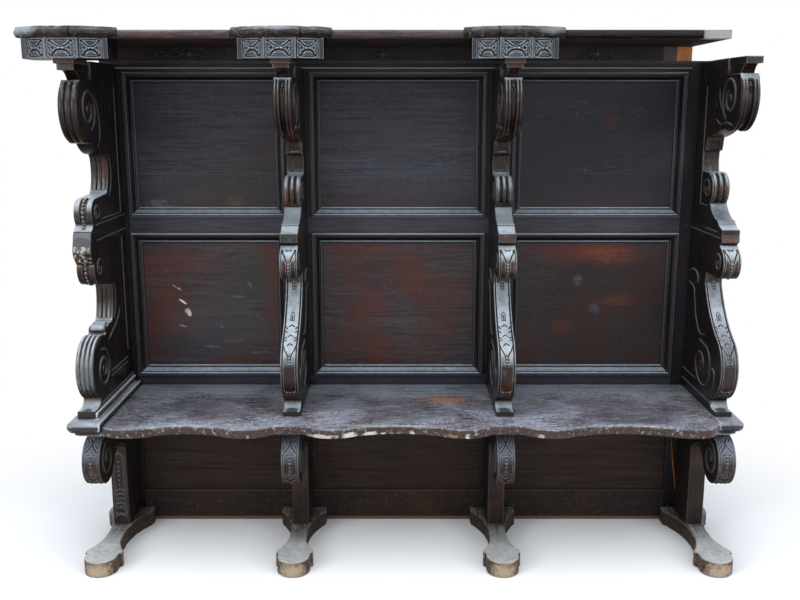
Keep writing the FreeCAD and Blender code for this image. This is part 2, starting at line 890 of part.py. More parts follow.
def lower_outline(shape, bottom, top, bud):
    """Side outline of a lower wing as (reach, height) corners, up the front and back to the frame."""
    foot = (shape.belly_foot, on_round(shape.belly_foot, shape.belly_reach, shape.belly_height,
                                       shape.belly_radius, above=False))
    head = (shape.belly_top, on_round(shape.belly_top, shape.belly_reach, shape.belly_height,
                                      shape.belly_radius, above=True))
    front = (shape.belly_reach + shape.belly_radius, shape.belly_height)
    stations = [foot, front]
    if bud:
        stations.append((shape.belly_reach, shape.belly_height + shape.belly_radius))
    belly = round_corners(stations + [head], shape.belly_radius)
    arm_front = (shape.arm_reach + shape.arm_radius, shape.arm_height)
    arm_head = (shape.arm_top, on_round(shape.arm_top, shape.arm_reach, shape.arm_height,
                                        shape.arm_radius, above=True))
    arm = round_corners([(shape.arm_reach, shape.arm_height - shape.arm_radius), arm_front, arm_head],
                        shape.arm_radius)
    return [
        (0, bottom),
        (shape.base_reach, bottom),
        (shape.base_reach, shape.base_high),
        (shape.flare_start, shape.base_high),
        (shape.flare_reach, shape.flare_height, -shape.flare_sag),
        *belly,
        *bud,
        (shape.shank_reach, shape.shank_height, -shape.shank_sag),
        (shape.elbow_reach, shape.elbow_height),
        *arm,
        (shape.notch_reach, shape.notch_height),
        (shape.block_reach, shape.block_height),
        (shape.block_top, top),
        (0, top),
    ]


def make_lower_wing(name, shape, x, bottom, top, bud):
    body = new_body(name, x, face, dim.seat_height)
    outline = lower_outline(shape, bottom, top, bud)
    pad(body, name, "YZ_Plane", forward(outline), dim.wing_thick, symmetric=True)
    tongue(body, name, tongue_levels("lower"), dim.seat_height)
    keep(body, name)


def make_wings():
    none = Size(0)
    make_upper_wing("upper_wing_left", reeded_upper, wing_x[0], none, none)
    make_upper_wing("upper_wing_middle_left", strap_upper, wing_x[1], none, none)
    make_upper_wing("upper_wing_middle_right", strap_upper, wing_x[2], none, none)
    make_upper_wing("upper_wing_right", strap_upper, wing_x[3], dim.right_lift, dim.right_cap_rise)
    bud = [
        (reeded_lower.bud_reach, reeded_lower.bud_height),
        (reeded_lower.bud_back, reeded_lower.bud_top, reeded_lower.bud_swell),
    ]
    make_lower_wing("lower_wing_left", reeded_lower, wing_x[0], dim.sill_rise,
                    dim.arm_rise + reeded_upper.joint_rise, bud)
    for name, x in (("middle_left", wing_x[1]), ("middle_right", wing_x[2]), ("right", wing_x[3])):
        make_lower_wing(f"lower_wing_{name}", strap_lower, x, none, dim.arm_rise, [])


# ---- brackets and feet ----

def make_bracket(name, x, top):
    """Leg and scrolled console under the seat, in one piece."""
    level = dim.seat_height - dim.console_drop
    reach = dim.console_reach
    radius = dim.console_radius
    foot = (dim.console_foot, on_round(dim.console_foot, reach, level, radius, above=False))
    head = (dim.console_neck, on_round(dim.console_neck, reach, level, radius, above=True))
    console = round_corners([foot, (reach, level - radius), (reach + radius, level), head], radius)
    outline = [
        (0, dim.foot_thick),
        (dim.leg_reach, dim.foot_thick),
        (dim.leg_reach, dim.seat_height - dim.leg_drop),
        (console[0][0], console[0][1], -dim.leg_sag),
        *console[1:],
        (dim.console_top, top),
        (0, top),
    ]
    body = new_body(name, x, face, 0)
    pad(body, name, "YZ_Plane", forward(outline), dim.wing_thick, symmetric=True)
    tongue(body, name, tongue_levels("plinth"), 0)
    keep(body, name)


def make_foot(name, x):
    """Sledge foot: flared ears at the frame, waisted neck, square shoulders and a round toe."""
    half = [
        (dim.ear_half, 0),
        (dim.ear_half, -dim.ear_reach),
        (dim.foot_neck_half, -dim.foot_neck_reach, -dim.ear_sag),
        (dim.shoulder_half, -dim.shoulder_back, -dim.foot_neck_sag),
        (dim.shoulder_half, -dim.shoulder_front),
        (dim.toe_radius, -dim.shoulder_front),
        (dim.toe_radius, -dim.toe_reach),
        (0, -(dim.toe_reach + dim.toe_radius), quarter(dim.toe_radius)),
    ]
    body = new_body(name, x, face, 0)
    pad(body, name, "XY_Plane", mirrored(half), dim.foot_thick)
    tenon_half = dim.foot_tenon_wide / 2
    tenon = [
        (tenon_half, 0),
        (tenon_half, dim.foot_tenon_deep),
        (-tenon_half, dim.foot_tenon_deep),
        (-tenon_half, 0),
    ]
    pad(body, name + "_tenon", "XY_Plane", tenon, dim.foot_tenon_high - dim.foot_tenon_low,
        lift=dim.foot_tenon_low)
    keep(body, name)


def make_underframe():
    right_top = dim.seat_height - dim.sill_right_thick
    tops = (seat_under, seat_under, seat_under, right_top)
    for name, x, top in zip(("left", "middle_left", "middle_right", "right"), wing_x, tops):
        make_bracket(f"seat_bracket_{name}", x, top)
        make_foot(f"foot_{name}", x)


# ---- seat board and end sills ----

def seat_outline():
    """Plan of the seat: a facet at each inner wing, a lobe on each side of it, hollows between."""
    front = [(seat_left, -dim.seat_lobe_end)]
    lobe_right = wing_x[0] + dim.seat_facet_half + dim.seat_lobe_long
    front.append((lobe_right, -dim.seat_lobe_end, dim.seat_left_swell))
    for x in wing_x[1:3]:
        facet_left = x - dim.seat_facet_half
        facet_right = x + dim.seat_facet_half
        front.append((facet_left - dim.seat_lobe_long, -dim.seat_lobe_end, -dim.seat_hollow))
        front.append((facet_left, -dim.seat_facet_reach, dim.seat_lobe_swell))
        front.append((facet_right, -dim.seat_facet_reach))
        front.append((facet_right + dim.seat_lobe_long, -dim.seat_lobe_end, dim.seat_lobe_swell))
    last_lobe = wing_x[3] - dim.seat_facet_half - dim.seat_lobe_long
    front.append((last_lobe, -dim.seat_lobe_end, -dim.seat_hollow))
    front.append((seat_right - dim.seat_corner_long, -dim.seat_corner_reach, dim.seat_right_swell))
    front.append((seat_right, -dim.seat_corner_back, dim.seat_corner_swell))
    behind = [
        (seat_right, 0),
        (stile_right_edge, 0),
        (stile_right_edge, dim.seat_housing),
        (seat_left, dim.seat_housing),
    ]
    return front + behind


def make_seat():
    body = new_body("seat_board", 0, face, seat_under)
    pad(body, "seat", "XY_Plane", seat_outline(), dim.seat_thick)
    keep(body, "seat_board")


def sill_layer(body, name, left, right, reach, corner_left, corner_right, low, high):
    outline = [(left, 0), (right, 0)]
    if corner_right is None:
        outline.append((right, -reach))
    else:
        outline.append((right, -(reach - corner_right)))
        outline.append((right - corner_right, -reach, quarter(corner_right)))
    if corner_left is None:
        outline.append((left, -reach))
    else:
        outline.append((left + corner_left, -reach))
        outline.append((left, -(reach - corner_left), quarter(corner_left)))
    return pad(body, name, "XY_Plane", outline, high - low, lift=low)


def edge_outside(middle, side, reach):
    """Whether an edge lies on the outer side, the front or the rounded corner between them."""
    at_side = abs(middle.x - side.number) < dim.sill_corner.number / 2
    at_front = abs(middle.y + reach.number) < dim.sill_corner.number / 2
    return at_side or at_front


def make_sills():
    """Moulded sills under the end wings: a rounded upper member over a set-back step."""
    left = frame_left - dim.sill_side
    body = new_body("end_sill_left", 0, face, seat_under)
    height = dim.seat_thick + dim.sill_rise
    step = height - dim.sill_round
    sill_layer(body, "sill_left_step", left + dim.sill_step, seat_left, dim.sill_left_reach - dim.sill_step,
               dim.sill_corner, None, Size(0), step)
    upper = sill_layer(body, "sill_left_round", left, seat_left, dim.sill_left_reach, dim.sill_corner, None,
                       step, height)
    ease_edges(body, "sill_left_nose", upper, dim.sill_nose,
               lambda middle: (near(middle.z, height) or near(middle.z, step))
               and edge_outside(middle, left, dim.sill_left_reach))
    strip_left = frame_left + dim.wing_thick
    strip_reach = dim.sill_left_reach - dim.sill_corner * 2
    strip = [(strip_left, 0), (strip_left + dim.sill_strip_wide, 0),
             (strip_left + dim.sill_strip_wide, -strip_reach), (strip_left, -strip_reach)]
    pad(body, "sill_strip", "XY_Plane", strip, dim.sill_strip_rise, lift=height)
    keep(body, "end_sill_left")

    right = frame_right + dim.sill_side
    body = new_body("end_sill_right", 0, face, dim.seat_height - dim.sill_right_thick)
    step = dim.sill_right_thick - dim.sill_round
    sill_layer(body, "sill_right_step", seat_right, right - dim.sill_step,
               dim.sill_right_reach - dim.sill_step, None, dim.sill_corner, Size(0), step)
    upper = sill_layer(body, "sill_right_round", seat_right, right, dim.sill_right_reach, None,
                       dim.sill_corner, step, dim.sill_right_thick)
    ease_edges(body, "sill_right_nose", upper, dim.sill_nose,
               lambda middle: (near(middle.z, dim.sill_right_thick) or near(middle.z, step))
               and edge_outside(middle, right, dim.sill_right_reach))
    keep(body, "end_sill_right")


# ---- canopy ----

def make_cap(name, x):
    """Bowed nosing piece above a bracket block, rounded along its bow."""
    plan_outline = [
        (dim.cap_half, -dim.canopy_reach),
        (dim.cap_half, -dim.cap_end_reach),
        (-dim.cap_half, -dim.cap_end_reach, dim.cap_swell),
        (-dim.cap_half, -dim.canopy_reach),
    ]
    body = new_body(name, x, face, canopy_under)
    plan = pad(body, name, "XY_Plane", plan_outline, dim.cap_thick)
    front = -dim.cap_end_reach.number
    ease_edges(body, name + "_roll", plan, dim.cap_roll,
               lambda middle: middle.y < front and not near(middle.z, dim.cap_thick / 2))
    keep(body, name)


def make_block(name, x):
    """Bracket block under a cap: a tablet in the middle and a swelling bow on each side."""
    half = [
        (dim.block_half, -dim.block_back),
        (dim.block_half, -dim.block_strip_reach),
        (dim.block_half - dim.block_strip, -dim.block_strip_reach),
        (dim.block_half - dim.block_strip, -dim.bow_end_reach),
        (dim.tablet_half, -dim.bow_reach, dim.bow_swell),
        (dim.tablet_half, -dim.tablet_reach),
    ]
    body = new_body(name, x, face, block_under)
    pad(body, name, "XY_Plane", mirrored(half), dim.block_height)
    keep(body, name)


def make_nosing(name, left, right, cut):
    """Nosing strip on the front edge of the canopy board, between two caps."""
    body = new_body(name, left, face, canopy_under)
    front = dim.canopy_reach + dim.nosing_deep
    edge = front - dim.nosing_swell
    section = [
        (-dim.canopy_reach, 0),
        (-dim.canopy_reach, dim.nosing_high),
        (-edge, dim.nosing_high),
        (-edge, 0, dim.nosing_swell),
    ]
    pad(body, name, "YZ_Plane", section, right - left)
    if cut:
        length = right - left
        corner = [(length, -dim.canopy_reach), (length, -(front + dim.nosing_slant)),
                  (length - dim.nosing_slant, -(front + dim.nosing_slant))]
        sketch = new_sketch(body, name + "_slant", "XY_Plane")
        draw(sketch, corner)
        slant = body.newObject("PartDesign::Pocket", name + "_slant_cut")
        slant.Profile = sketch
        slant.setExpression("Length", dim.nosing_high.formula)
        slant.Reversed = True
    keep(body, name)


def make_canopy():
    keep(box("canopy", (canopy_left, canopy_right), (face - dim.canopy_reach, back),
             (canopy_under, canopy_under + dim.canopy_thick)), "canopy_board")
    for name, x in zip(("left", "middle", "right"), wing_x):
        make_cap(f"canopy_cap_{name}", x)
        make_block(f"canopy_block_{name}", x)
    make_nosing("canopy_nosing_left", wing_x[0] + dim.cap_half, wing_x[1] - dim.cap_half, False)
    make_nosing("canopy_nosing_middle", wing_x[1] + dim.cap_half, wing_x[2] - dim.cap_half, False)
    make_nosing("canopy_nosing_right", wing_x[2] + dim.cap_half, canopy_right - dim.nosing_cut, True)
    plates = []
    for number, x in enumerate(wing_x[:3]):
        plates.append(box(f"plate_{number}", (x - dim.plate_half, x + dim.plate_half),
                          (face - dim.plate_front, face - dim.block_back), (wing_top, block_under)))
    group = doc.addObject("Part::Compound", "plate_group")
    group.Links = plates
    keep(group, "block_plates")
    bead = box("bead", (frame_left, canopy_right), (face - dim.bead_deep, face),
               (block_under - dim.bead_height, block_under))
    keep(bead, "frieze_bead")


make_frame()
make_panels()
make_mouldings()
make_pegs()
make_wings()
make_underframe()
make_seat()
make_sills()
make_canopy()
doc.recompute()

# ---- every object computed, every sub-part sound, then one STEP file each ----

for item in doc.Objects:
    for word in ("Invalid", "Error"):
        if word in item.State:
            raise RuntimeError(f"{item.Label}: {item.State}")

os.makedirs("parts", exist_ok=True)
for piece in pieces:
    if piece.Shape.isNull() or not piece.Shape.isValid():
        raise RuntimeError(f"{piece.Label} is not a sound solid")
    piece.Shape.exportStep(f"parts/{piece.Label}.step")
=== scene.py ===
import math

import bmesh
import bpy
import numpy as np
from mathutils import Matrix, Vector, noise


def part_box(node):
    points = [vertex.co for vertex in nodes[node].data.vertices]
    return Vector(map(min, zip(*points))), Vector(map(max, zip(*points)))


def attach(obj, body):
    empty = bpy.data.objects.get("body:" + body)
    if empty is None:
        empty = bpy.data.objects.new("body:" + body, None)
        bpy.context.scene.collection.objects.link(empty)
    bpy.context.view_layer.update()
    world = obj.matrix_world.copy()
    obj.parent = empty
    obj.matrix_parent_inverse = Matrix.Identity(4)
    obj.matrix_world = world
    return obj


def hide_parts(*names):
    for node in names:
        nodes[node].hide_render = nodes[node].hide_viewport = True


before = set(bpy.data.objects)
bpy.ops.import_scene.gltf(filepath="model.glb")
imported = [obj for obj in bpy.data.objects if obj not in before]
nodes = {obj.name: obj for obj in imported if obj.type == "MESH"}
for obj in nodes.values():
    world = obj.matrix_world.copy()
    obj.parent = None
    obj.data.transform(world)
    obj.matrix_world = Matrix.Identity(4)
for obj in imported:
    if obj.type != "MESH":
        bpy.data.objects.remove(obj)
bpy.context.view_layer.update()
print("frame loaded:", len(nodes), "nodes")

mm = 0.001
faceY = 219.46      # front plane of the panelled back; wings are measured forward from it
wingX = {"left": -935.0, "middle_left": -329.0, "middle_right": 330.0, "right": 1002.0}
bays = ("left", "middle", "right")
panelY, panelDeep = 230, 12     # stains, painted shade and painted sheen on the panels end inside their thickness, so the backs stay plain


def colour(code):
    parts = [int(code[i:i + 2], 16) / 255 for i in (0, 2, 4)]
    return [p / 12.92 if p <= 0.04045 else ((p + 0.055) / 1.055) ** 2.4 for p in parts] + [1.0]


def linked(name, data):
    made = bpy.data.objects.new(name, data)
    bpy.context.scene.collection.objects.link(made)
    return made


def addNode(tree, kind, links=None, **settings):
    # links are values or other nodes' sockets; what comes back is the new node's outputs
    node = tree.nodes.new(kind)
    for key, value in settings.items():
        setattr(node, key, value)
    for socket, value in (links or {}).items():
        if isinstance(value, bpy.types.NodeSocket):
            tree.links.new(value, node.inputs[socket])
        else:
            node.inputs[socket].default_value = value
    return node.outputs


def freshTree(owner):
    owner.use_nodes = True
    owner.node_tree.nodes.clear()
    return owner.node_tree


def mask(tree, *factors):
    # a factor is (value, low, high, toLow, toHigh); the mask is all of them multiplied together
    result = None
    for factor in factors:
        part = addNode(tree, "ShaderNodeMapRange", dict(enumerate(factor)))[0]
        if result is not None:
            part = addNode(tree, "ShaderNodeMath", {0: result, 1: part}, operation="MULTIPLY")[0]
        result = part
    return result


def ballAt(tree, place, middle, size, turn):
    # 1 at a place, falling to 0 on an ellipsoid of that size round it
    away = addNode(tree, "ShaderNodeMapping", {
        "Vector": place, "Location": [c * mm for c in middle], "Rotation": (0, math.radians(turn), 0),
        "Scale": [c * mm for c in size]}, vector_type="TEXTURE")[0]
    return addNode(tree, "ShaderNodeTexGradient", {0: away}, gradient_type="SPHERICAL")["Fac"]


def walnut(name, **changes):
    look = {**walnutBase, **changes}
    material = bpy.data.materials.new(name)
    tree = freshTree(material)
    place = addNode(tree, "ShaderNodeTexCoord")["Object"]
    level = addNode(tree, "ShaderNodeSeparateXYZ", {0: place})[2]
    shape = addNode(tree, "ShaderNodeNewGeometry")
    facing = addNode(tree, "ShaderNodeSeparateXYZ", {0: shape["Normal"]})
    flank = addNode(tree, "ShaderNodeMath", {0: facing[0]}, operation="ABSOLUTE")[0]
    stretched = addNode(tree, "ShaderNodeMapping", {"Vector": place, "Scale": look["grain"]})[0]
    figure, fine, clouds, scuffs, specks = [addNode(tree, "ShaderNodeTexNoise", {
        "Vector": vector, "Scale": scale, "Detail": detail, "Roughness": roughness, "Distortion": wander,
    })[0] for vector, scale, detail, roughness, wander in (
        (stretched, 1, 5, 0.62, look["wavy"]), (stretched, 3.1, 4, 0.7, look["wavy"]),
        (place, look["patchScale"], 3, 0.5, 0), (place, look["scuffScale"], 6, 0.7, 0),
        (place, look["speckScale"], 2, 0.5, 0))]
    # ambient occlusion, used below to paint shade into corners and near other parts
    corner = addNode(tree, "ShaderNodeAmbientOcclusion", {"Distance": look["grime"] * mm}, samples=4)["AO"]
    tints = []

    def lay(paint, first, *others):
        # paint is a name in the look, or its own (colour, amount); the layers lie in the order of the calls
        code, amount = look.get(paint, paint)
        tints.append((colour(code), mask(tree, (*first, 0, amount), *others)))
        return tints[-1][1]

    lay((look["light"], 1), (figure, *look["streak"]))
    lay("warm", (clouds, 0.46, 0.66))
    if look["haze"]:            # painted sheen: silky bluish streaks of painted reflection on the panels
        lay("haze", (fine, 0.46, 0.66), (clouds, 0.62, 0.4, 0.1, 1))
    lay("side", (facing[2], 0.5, 0.1))
    # dust and a painted sheen lie on what faces up; the sheen is a painted reflection of the bright ceiling,
    # brightest along crests rather than on their flanks
    bloom = lay("bloom", (facing[2], *look["bloomSpan"]), (flank, 0.12, 0.5, 1, 1 - look["crest"]),
                (scuffs, 0.3, 0.62, look["bloomBreak"], 1), (clouds, 0.36, 0.6, 1 - look["patchy"], 1))
    lay("dirt", (corner, 0.75, 0.3))        # painted shade: darker where the occlusion reaches into corners and near other parts
    lay("scuff", (scuffs, 0.56, 0.68))
    pale, darkest = look["scuff"][0], look["dirt"][0]
    if look["speckAmount"]:     # pinholes and dents filled with pale dust
        lay((pale, look["speckAmount"]), (specks, 0.63, 0.68), (facing[2], 0.1, 0.7, look["speckSides"], 1))
    for turn in look["scratches"]:      # short and pale, about 3 mm by 60 mm, drawn coarser than real ones
        along = addNode(tree, "ShaderNodeMapping", {
            "Vector": place, "Rotation": (0, 0, math.radians(turn)), "Scale": (16, 330, 40)})[0]
        scratch = addNode(tree, "ShaderNodeTexNoise", {"Vector": along, "Scale": 1, "Detail": 1})[0]
        lay((pale, 0.8), (scratch, 0.64, 0.71), (facing[2], 0.5, 0.9, 0, 1))

    if look["carved"]:      # handled ridges are paler: rubbed wear with a painted highlight along the crests; cut grounds are darker: old dark wax with painted shade in the hollows
        lay("wear", (shape["Pointiness"], 0.515, look["wearTo"]))
        lay("dirt", (shape["Pointiness"], 0.495, 0.43))
    else:
        soft = addNode(tree, "ShaderNodeBevel", {"Radius": look["edge"] * mm}, samples=6)[0]
        bent = addNode(tree, "ShaderNodeVectorMath", {0: soft, 1: shape["Normal"]}, operation="DOT_PRODUCT")
        lay("wear", (bent["Value"], 0.995, 0.86), (scuffs, 0.38, 0.55, 0.35, 1))

    # joints, quirks and rubbed arrises: (height, half width, colour, amount)
    wavy = addNode(tree, "ShaderNodeMath", {0: clouds, 1: 2.4 * mm, 2: level}, operation="MULTIPLY_ADD")[0]
    for height, half, *paint in look["lines"]:
        line = addNode(tree, "ShaderNodeMath", {0: wavy, 1: (height + 1.2) * mm, 2: half * mm},
                       operation="COMPARE")
        lay(tuple(paint), (line[0], 0, 1))

    for x, z, wide, tall, amount in look["scribbles"]:      # crossing scratches, 3 mm wide so that they show
        slanting = addNode(tree, "ShaderNodeMapping", {
            "Vector": place, "Rotation": (0, math.radians(-32), 0), "Scale": (12, 20, 54)})[0]
        strands = addNode(tree, "ShaderNodeTexNoise", {
            "Vector": slanting, "Scale": 1, "Detail": 3, "Distortion": 0.8})[0]
        ball = ballAt(tree, place, (x, panelY, z), (wide, panelDeep, tall), 0)
        lay(("8b90a0", 1), (strands, 0.484, 0.5), (strands, 0.516, 0.5, 0, 1), (ball, 0, 0.5, 0, amount))

    # bare, bruised or patched places, and patches of painted shade and painted sheen: (x, y, z, half sizes,
    # colour, amount, softness, raggedness, turn if any)
    uneven = addNode(tree, "ShaderNodeMath", {0: figure, 1: scuffs}, operation="ADD")[0]
    for x, y, z, wide, deep, tall, code, amount, softness, ragged, *turn in look["spots"]:
        ball = ballAt(tree, place, (x, y, z), (wide, deep, tall), sum(turn))
        torn = addNode(tree, "ShaderNodeMath", {0: uneven, 1: ragged, 2: 1 - ragged}, operation="MULTIPLY_ADD")
        torn = addNode(tree, "ShaderNodeMath", {0: torn[0], 1: ball}, operation="MULTIPLY")[0]
        lay((code, amount), (torn, 0.16, 0.16 + softness))

    if look["carved"]:      # the carver's cuts are painted black as painted shade, and their rims are painted bright: rubbed wear with a painted highlight, strongest where they face up
        cut, rim = [addNode(tree, "ShaderNodeAttribute", attribute_name=key)["Fac"] for key in ("cut", "rim")]
        lay((darkest, 0.92), (cut, 0, 1))
        lay("rim", (rim, 0, 1), (facing[2], -0.7, 0.5, 0.25, 1), (scuffs, 0.36, 0.56, 0.3, 1))

    tint = colour(look["dark"])
    for code, amount in tints:      # Mix node: 6 and 7 are its colour inputs, output 2 its colour
        tint = addNode(tree, "ShaderNodeMix", {0: amount, 6: tint, 7: code}, data_type="RGBA")[2]

    gloss = mask(tree, (figure, 0.3, 0.7, look["rough"] + 0.07, look["rough"] - 0.06))
    gloss = addNode(tree, "ShaderNodeMath", {0: bloom, 1: look["bloomRough"], 2: gloss},
                    operation="MULTIPLY_ADD", use_clamp=True)[0]
    depth = addNode(tree, "ShaderNodeMath", {0: fine, 1: 0.6, 2: figure}, operation="MULTIPLY_ADD")[0]
    bumpLinks = {"Strength": look["bump"], "Distance": 1.2 * mm, "Height": depth}
    if not look["carved"]:
        bumpLinks["Normal"] = soft
    bump = addNode(tree, "ShaderNodeBump", bumpLinks)[0]
    # undersides were never rubbed with wax, so they shine less
    shine, coat = [mask(tree, (facing[2], -0.1, -0.6, most, most * 0.1))
                   for most in (look["specular"], look["coat"])]
    shader = addNode(tree, "ShaderNodeBsdfPrincipled", {
        "Base Color": tint, "Roughness": gloss, "Normal": bump,
        "Specular IOR Level": shine, "Coat Weight": coat, "Coat Roughness": 0.22})
    addNode(tree, "ShaderNodeOutputMaterial", {0: shader[0]})
    return material


# grain scale is streaks per metre along X, Y and Z: about 3 mm wide and 120 mm long,
# coarser than real walnut pores so that it shows
grainX = (9, 150, 330)
grainY = (300, 8, 300)
grainZ = (330, 150, 9)

walnutBase = {
    "grain": grainX, "dark": "1c191b", "light": "353034", "streak": (0.34, 0.72), "warm": ("3d2822", 0.45),
    "patchScale": 5, "wavy": 0, "haze": (), "side": ("4a3a32", 0), "scuff": ("6a6a70", 0.1), "scuffScale": 60,
    "speckAmount": 0, "speckScale": 190, "speckSides": 1, "scratches": [], "bloom": ("7d868e", 0.75),
    "bloomSpan": (0.15, 0.85), "bloomRough": 0.12, "bloomBreak": 0.72, "patchy": 0.25, "crest": 0,
    "wear": ("6c6663", 0.5), "wearTo": 0.6, "edge": 2.2, "dirt": ("0b0a0b", 0.9), "grime": 30,
    "rim": ("c8d0d4", 0.6), "rough": 0.36, "bump": 0.35, "specular": 0.22, "coat": 0.08, "carved": False,
    "lines": [], "scribbles": [], "spots": [],
}


def onPanels(*rows):
    return [(x, panelY, z, wide, panelDeep, tall, *rest) for x, z, wide, tall, *rest in rows]


def onWings(*row):
    return [(x, *row) for x in wingX.values()]


# Old waxed walnut panels, hand planed: nearly black, plum-grey, with silky horizontal figure
panelGrain = (5, 120, 105)     # broad slash-sawn figure, about 10 mm by 200 mm
upperPanelWalnut = walnut(
    "waxedWalnutUpperPanel", grain=panelGrain, wavy=0.5, dark="19191d", light="37363d", warm=("33272a", 0.6),
    rough=0.4, bump=0.16, scuff=("62636b", 0.16), streak=(0.3, 0.7), haze=("6a7084", 0.18),
    speckAmount=0.14, speckScale=120, grime=110, dirt=("101013", 0.75),
    scribbles=[(606, 1424, 70, 46, 0.7), (776, 1420, 44, 40, 0.7), (700, 1232, 170, 16, 0.5)],
    lines=[
        (1216, 1.1, "0d0c0e", 0.8), (1218.4, 0.8, "62646c", 0.5), (1372, 0.9, "121114", 0.5),
        (1476, 0.9, "121114", 0.45)],
    spots=onPanels(
        # the first two are painted light: painted shade darkening the right bay where the light falls off, and
        # a pale bluish painted sheen on the middle bay
        (690, 1300, 520, 520, "0e131f", 0.68, 0.5, 1.3), (0, 1300, 420, 330, "50525c", 0.3, 0.6, 2),
        *[(x, 1130, 420, 80, "35292a", 0.5, 0.6, 2.4) for x in (-660, 0, 690)],
        (-790, 1121, 75, 22, "676b70", 0.5, 0.7, 5), (-542, 1124, 50, 30, "625f4a", 0.5, 0.7, 5),
        (-560, 1180, 260, 130, "363029", 0.5, 0.6, 2), (690, 1400, 46, 70, "3f2226", 0.5, 0.6, 3, 30)))
# The same walnut where sitters' backs have rubbed it: red-brown through the wax
lowerPanelWalnut = walnut(
    "rubbedWalnutLowerPanel", grain=panelGrain, wavy=0.5, dark="231c1d", light="463a3c", warm=("542a20", 0.66),
    patchScale=5.5, rough=0.38, bump=0.16, scuff=("67605f", 0.18), streak=(0.3, 0.7), haze=("62606a", 0.4),
    speckAmount=0.16, speckScale=110, grime=110, dirt=("120e0e", 0.7),
    lines=[
        (742, 0.9, "120f0f", 0.5), (886, 1, "120f0f", 0.6), (884, 0.6, "5d5856", 0.6),
        (982, 1.2, "1a1212", 0.4)],
    spots=onPanels(
        # the first is painted shade, darkening the right bay where the light falls off
        (690, 780, 480, 420, "140d0d", 0.7, 0.5, 1.3), (-640, 690, 260, 150, "39383d", 0.55, 0.6, 2.2),
        *[(*row, 0.7, 0.6, 3) for row in (
            (-500, 880, 110, 120, "333530"), (-505, 700, 140, 90, "3c3f3d"), (-600, 620, 200, 60, "35363a"),
            (-580, 800, 110, 50, "3a3837"), (-760, 640, 120, 60, "302e31"))],
        *[(x, z, half, 7, "6a6f73", 0.42, 0.7, 4.6, turn) for x, z, half, turn in (
            (-545, 806, 40, 0), (-500, 846, 26, 60), (-490, 742, 40, 4), (-560, 652, 60, 0),
            (-480, 612, 50, -4), (-640, 632, 50, 3), (-780, 898, 14, 70), (-600, 700, 14, 60))],
        (-760, 930, 210, 70, "5a2b22", 0.5, 0.6, 3.2, -4), (696, 953, 190, 60, "66301e", 0.8, 0.7, 2.8, 2),
        (706, 950, 130, 34, "7c3c20", 0.45, 0.7, 3.4, 2), (743, 792, 90, 34, "5a2b1d", 0.6, 0.6, 3),
        (554, 701, 60, 40, "55281b", 0.6, 0.6, 3), (666, 767, 26, 26, "4d5262", 0.5, 0.7, 4.5),
        (545, 944, 120, 60, "56281f", 0.6, 0.6, 2.6), (606, 866, 24, 30, "5c6375", 0.5, 0.7, 4.5, 12),
        (-756, 842, 11, 4, "8d8580", 0.8, 0.3, 1.4, 40), (-741, 833, 12, 4.6, "a39b94", 0.95, 0.3, 1.4, 32),
        (-730, 789, 19, 5, "dcd6cf", 1, 0.2, 1.2, 36), (-715, 757, 13, 11, "b7aa93", 1, 0.2, 1.7, 20),
        (-710, 749, 9, 14, "cfc3ad", 1, 0.2, 1.5, -10), (-734, 705, 22, 4, "9c8c86", 0.8, 0.3, 1.5, 12)))
plinthWalnut = walnut(
    "dryWalnutPlinthPanel", grain=panelGrain, dark="2a211d", light="483730", warm=("3f281e", 0.45), rough=0.55,
    coat=0, scuff=("5a4d42", 0.14), bump=0.14, speckAmount=0.2, speckScale=110,
    lines=[(188, 1.2, "0d0b0a", 0.8)],
    spots=onPanels((0, 400, 520, 160, "3b3433", 0.5, 0.6, 2)))
# Frame members, smooth and waxed, with the cold shine of a polished black surface
railWalnut = walnut(
    "waxedWalnutRail", dark="26252b", light="4b4b55", rough=0.3, warm=("3d2822", 0.2), bump=0.15,
    wear=("7a7f8a", 0.65))
stileWalnut = walnut(
    "waxedWalnutStile", grain=grainZ, dark="151316", light="29272d", rough=0.32, warm=("3d2822", 0.2),
    bump=0.15,
    spots=[(966, 219.5, 190, 3.8, 12, 150, "a0602c", 1, 0.25, 3.4, -7.6)])
bottomRailWalnut = walnut(
    "wornWalnutBottomRail", dark="221c1a", light="3b302c", warm=("4a3222", 0.45), rough=0.55, coat=0,
    wear=("94775b", 0.8), edge=4, speckAmount=0.15, scuff=("8d7a68", 0.2),
    lines=[(9, 6.5, "8a6a50", 0.8), (86, 1, "0d0b0a", 0.6)])
mouldingWalnut = walnut(
    "polishedWalnutMoulding", carved=True, dark="100f12", light="232226", bloom=("d0dcea", 1),
    bloomSpan=(0.1, 0.6), bloomBreak=0.6, rough=0.22, coat=0.35, wear=("7c8089", 0.6), wearTo=0.57,
    warm=("3d2822", 0.25), bump=0.2, grime=6, dirt=("0b0a0b", 0.45))
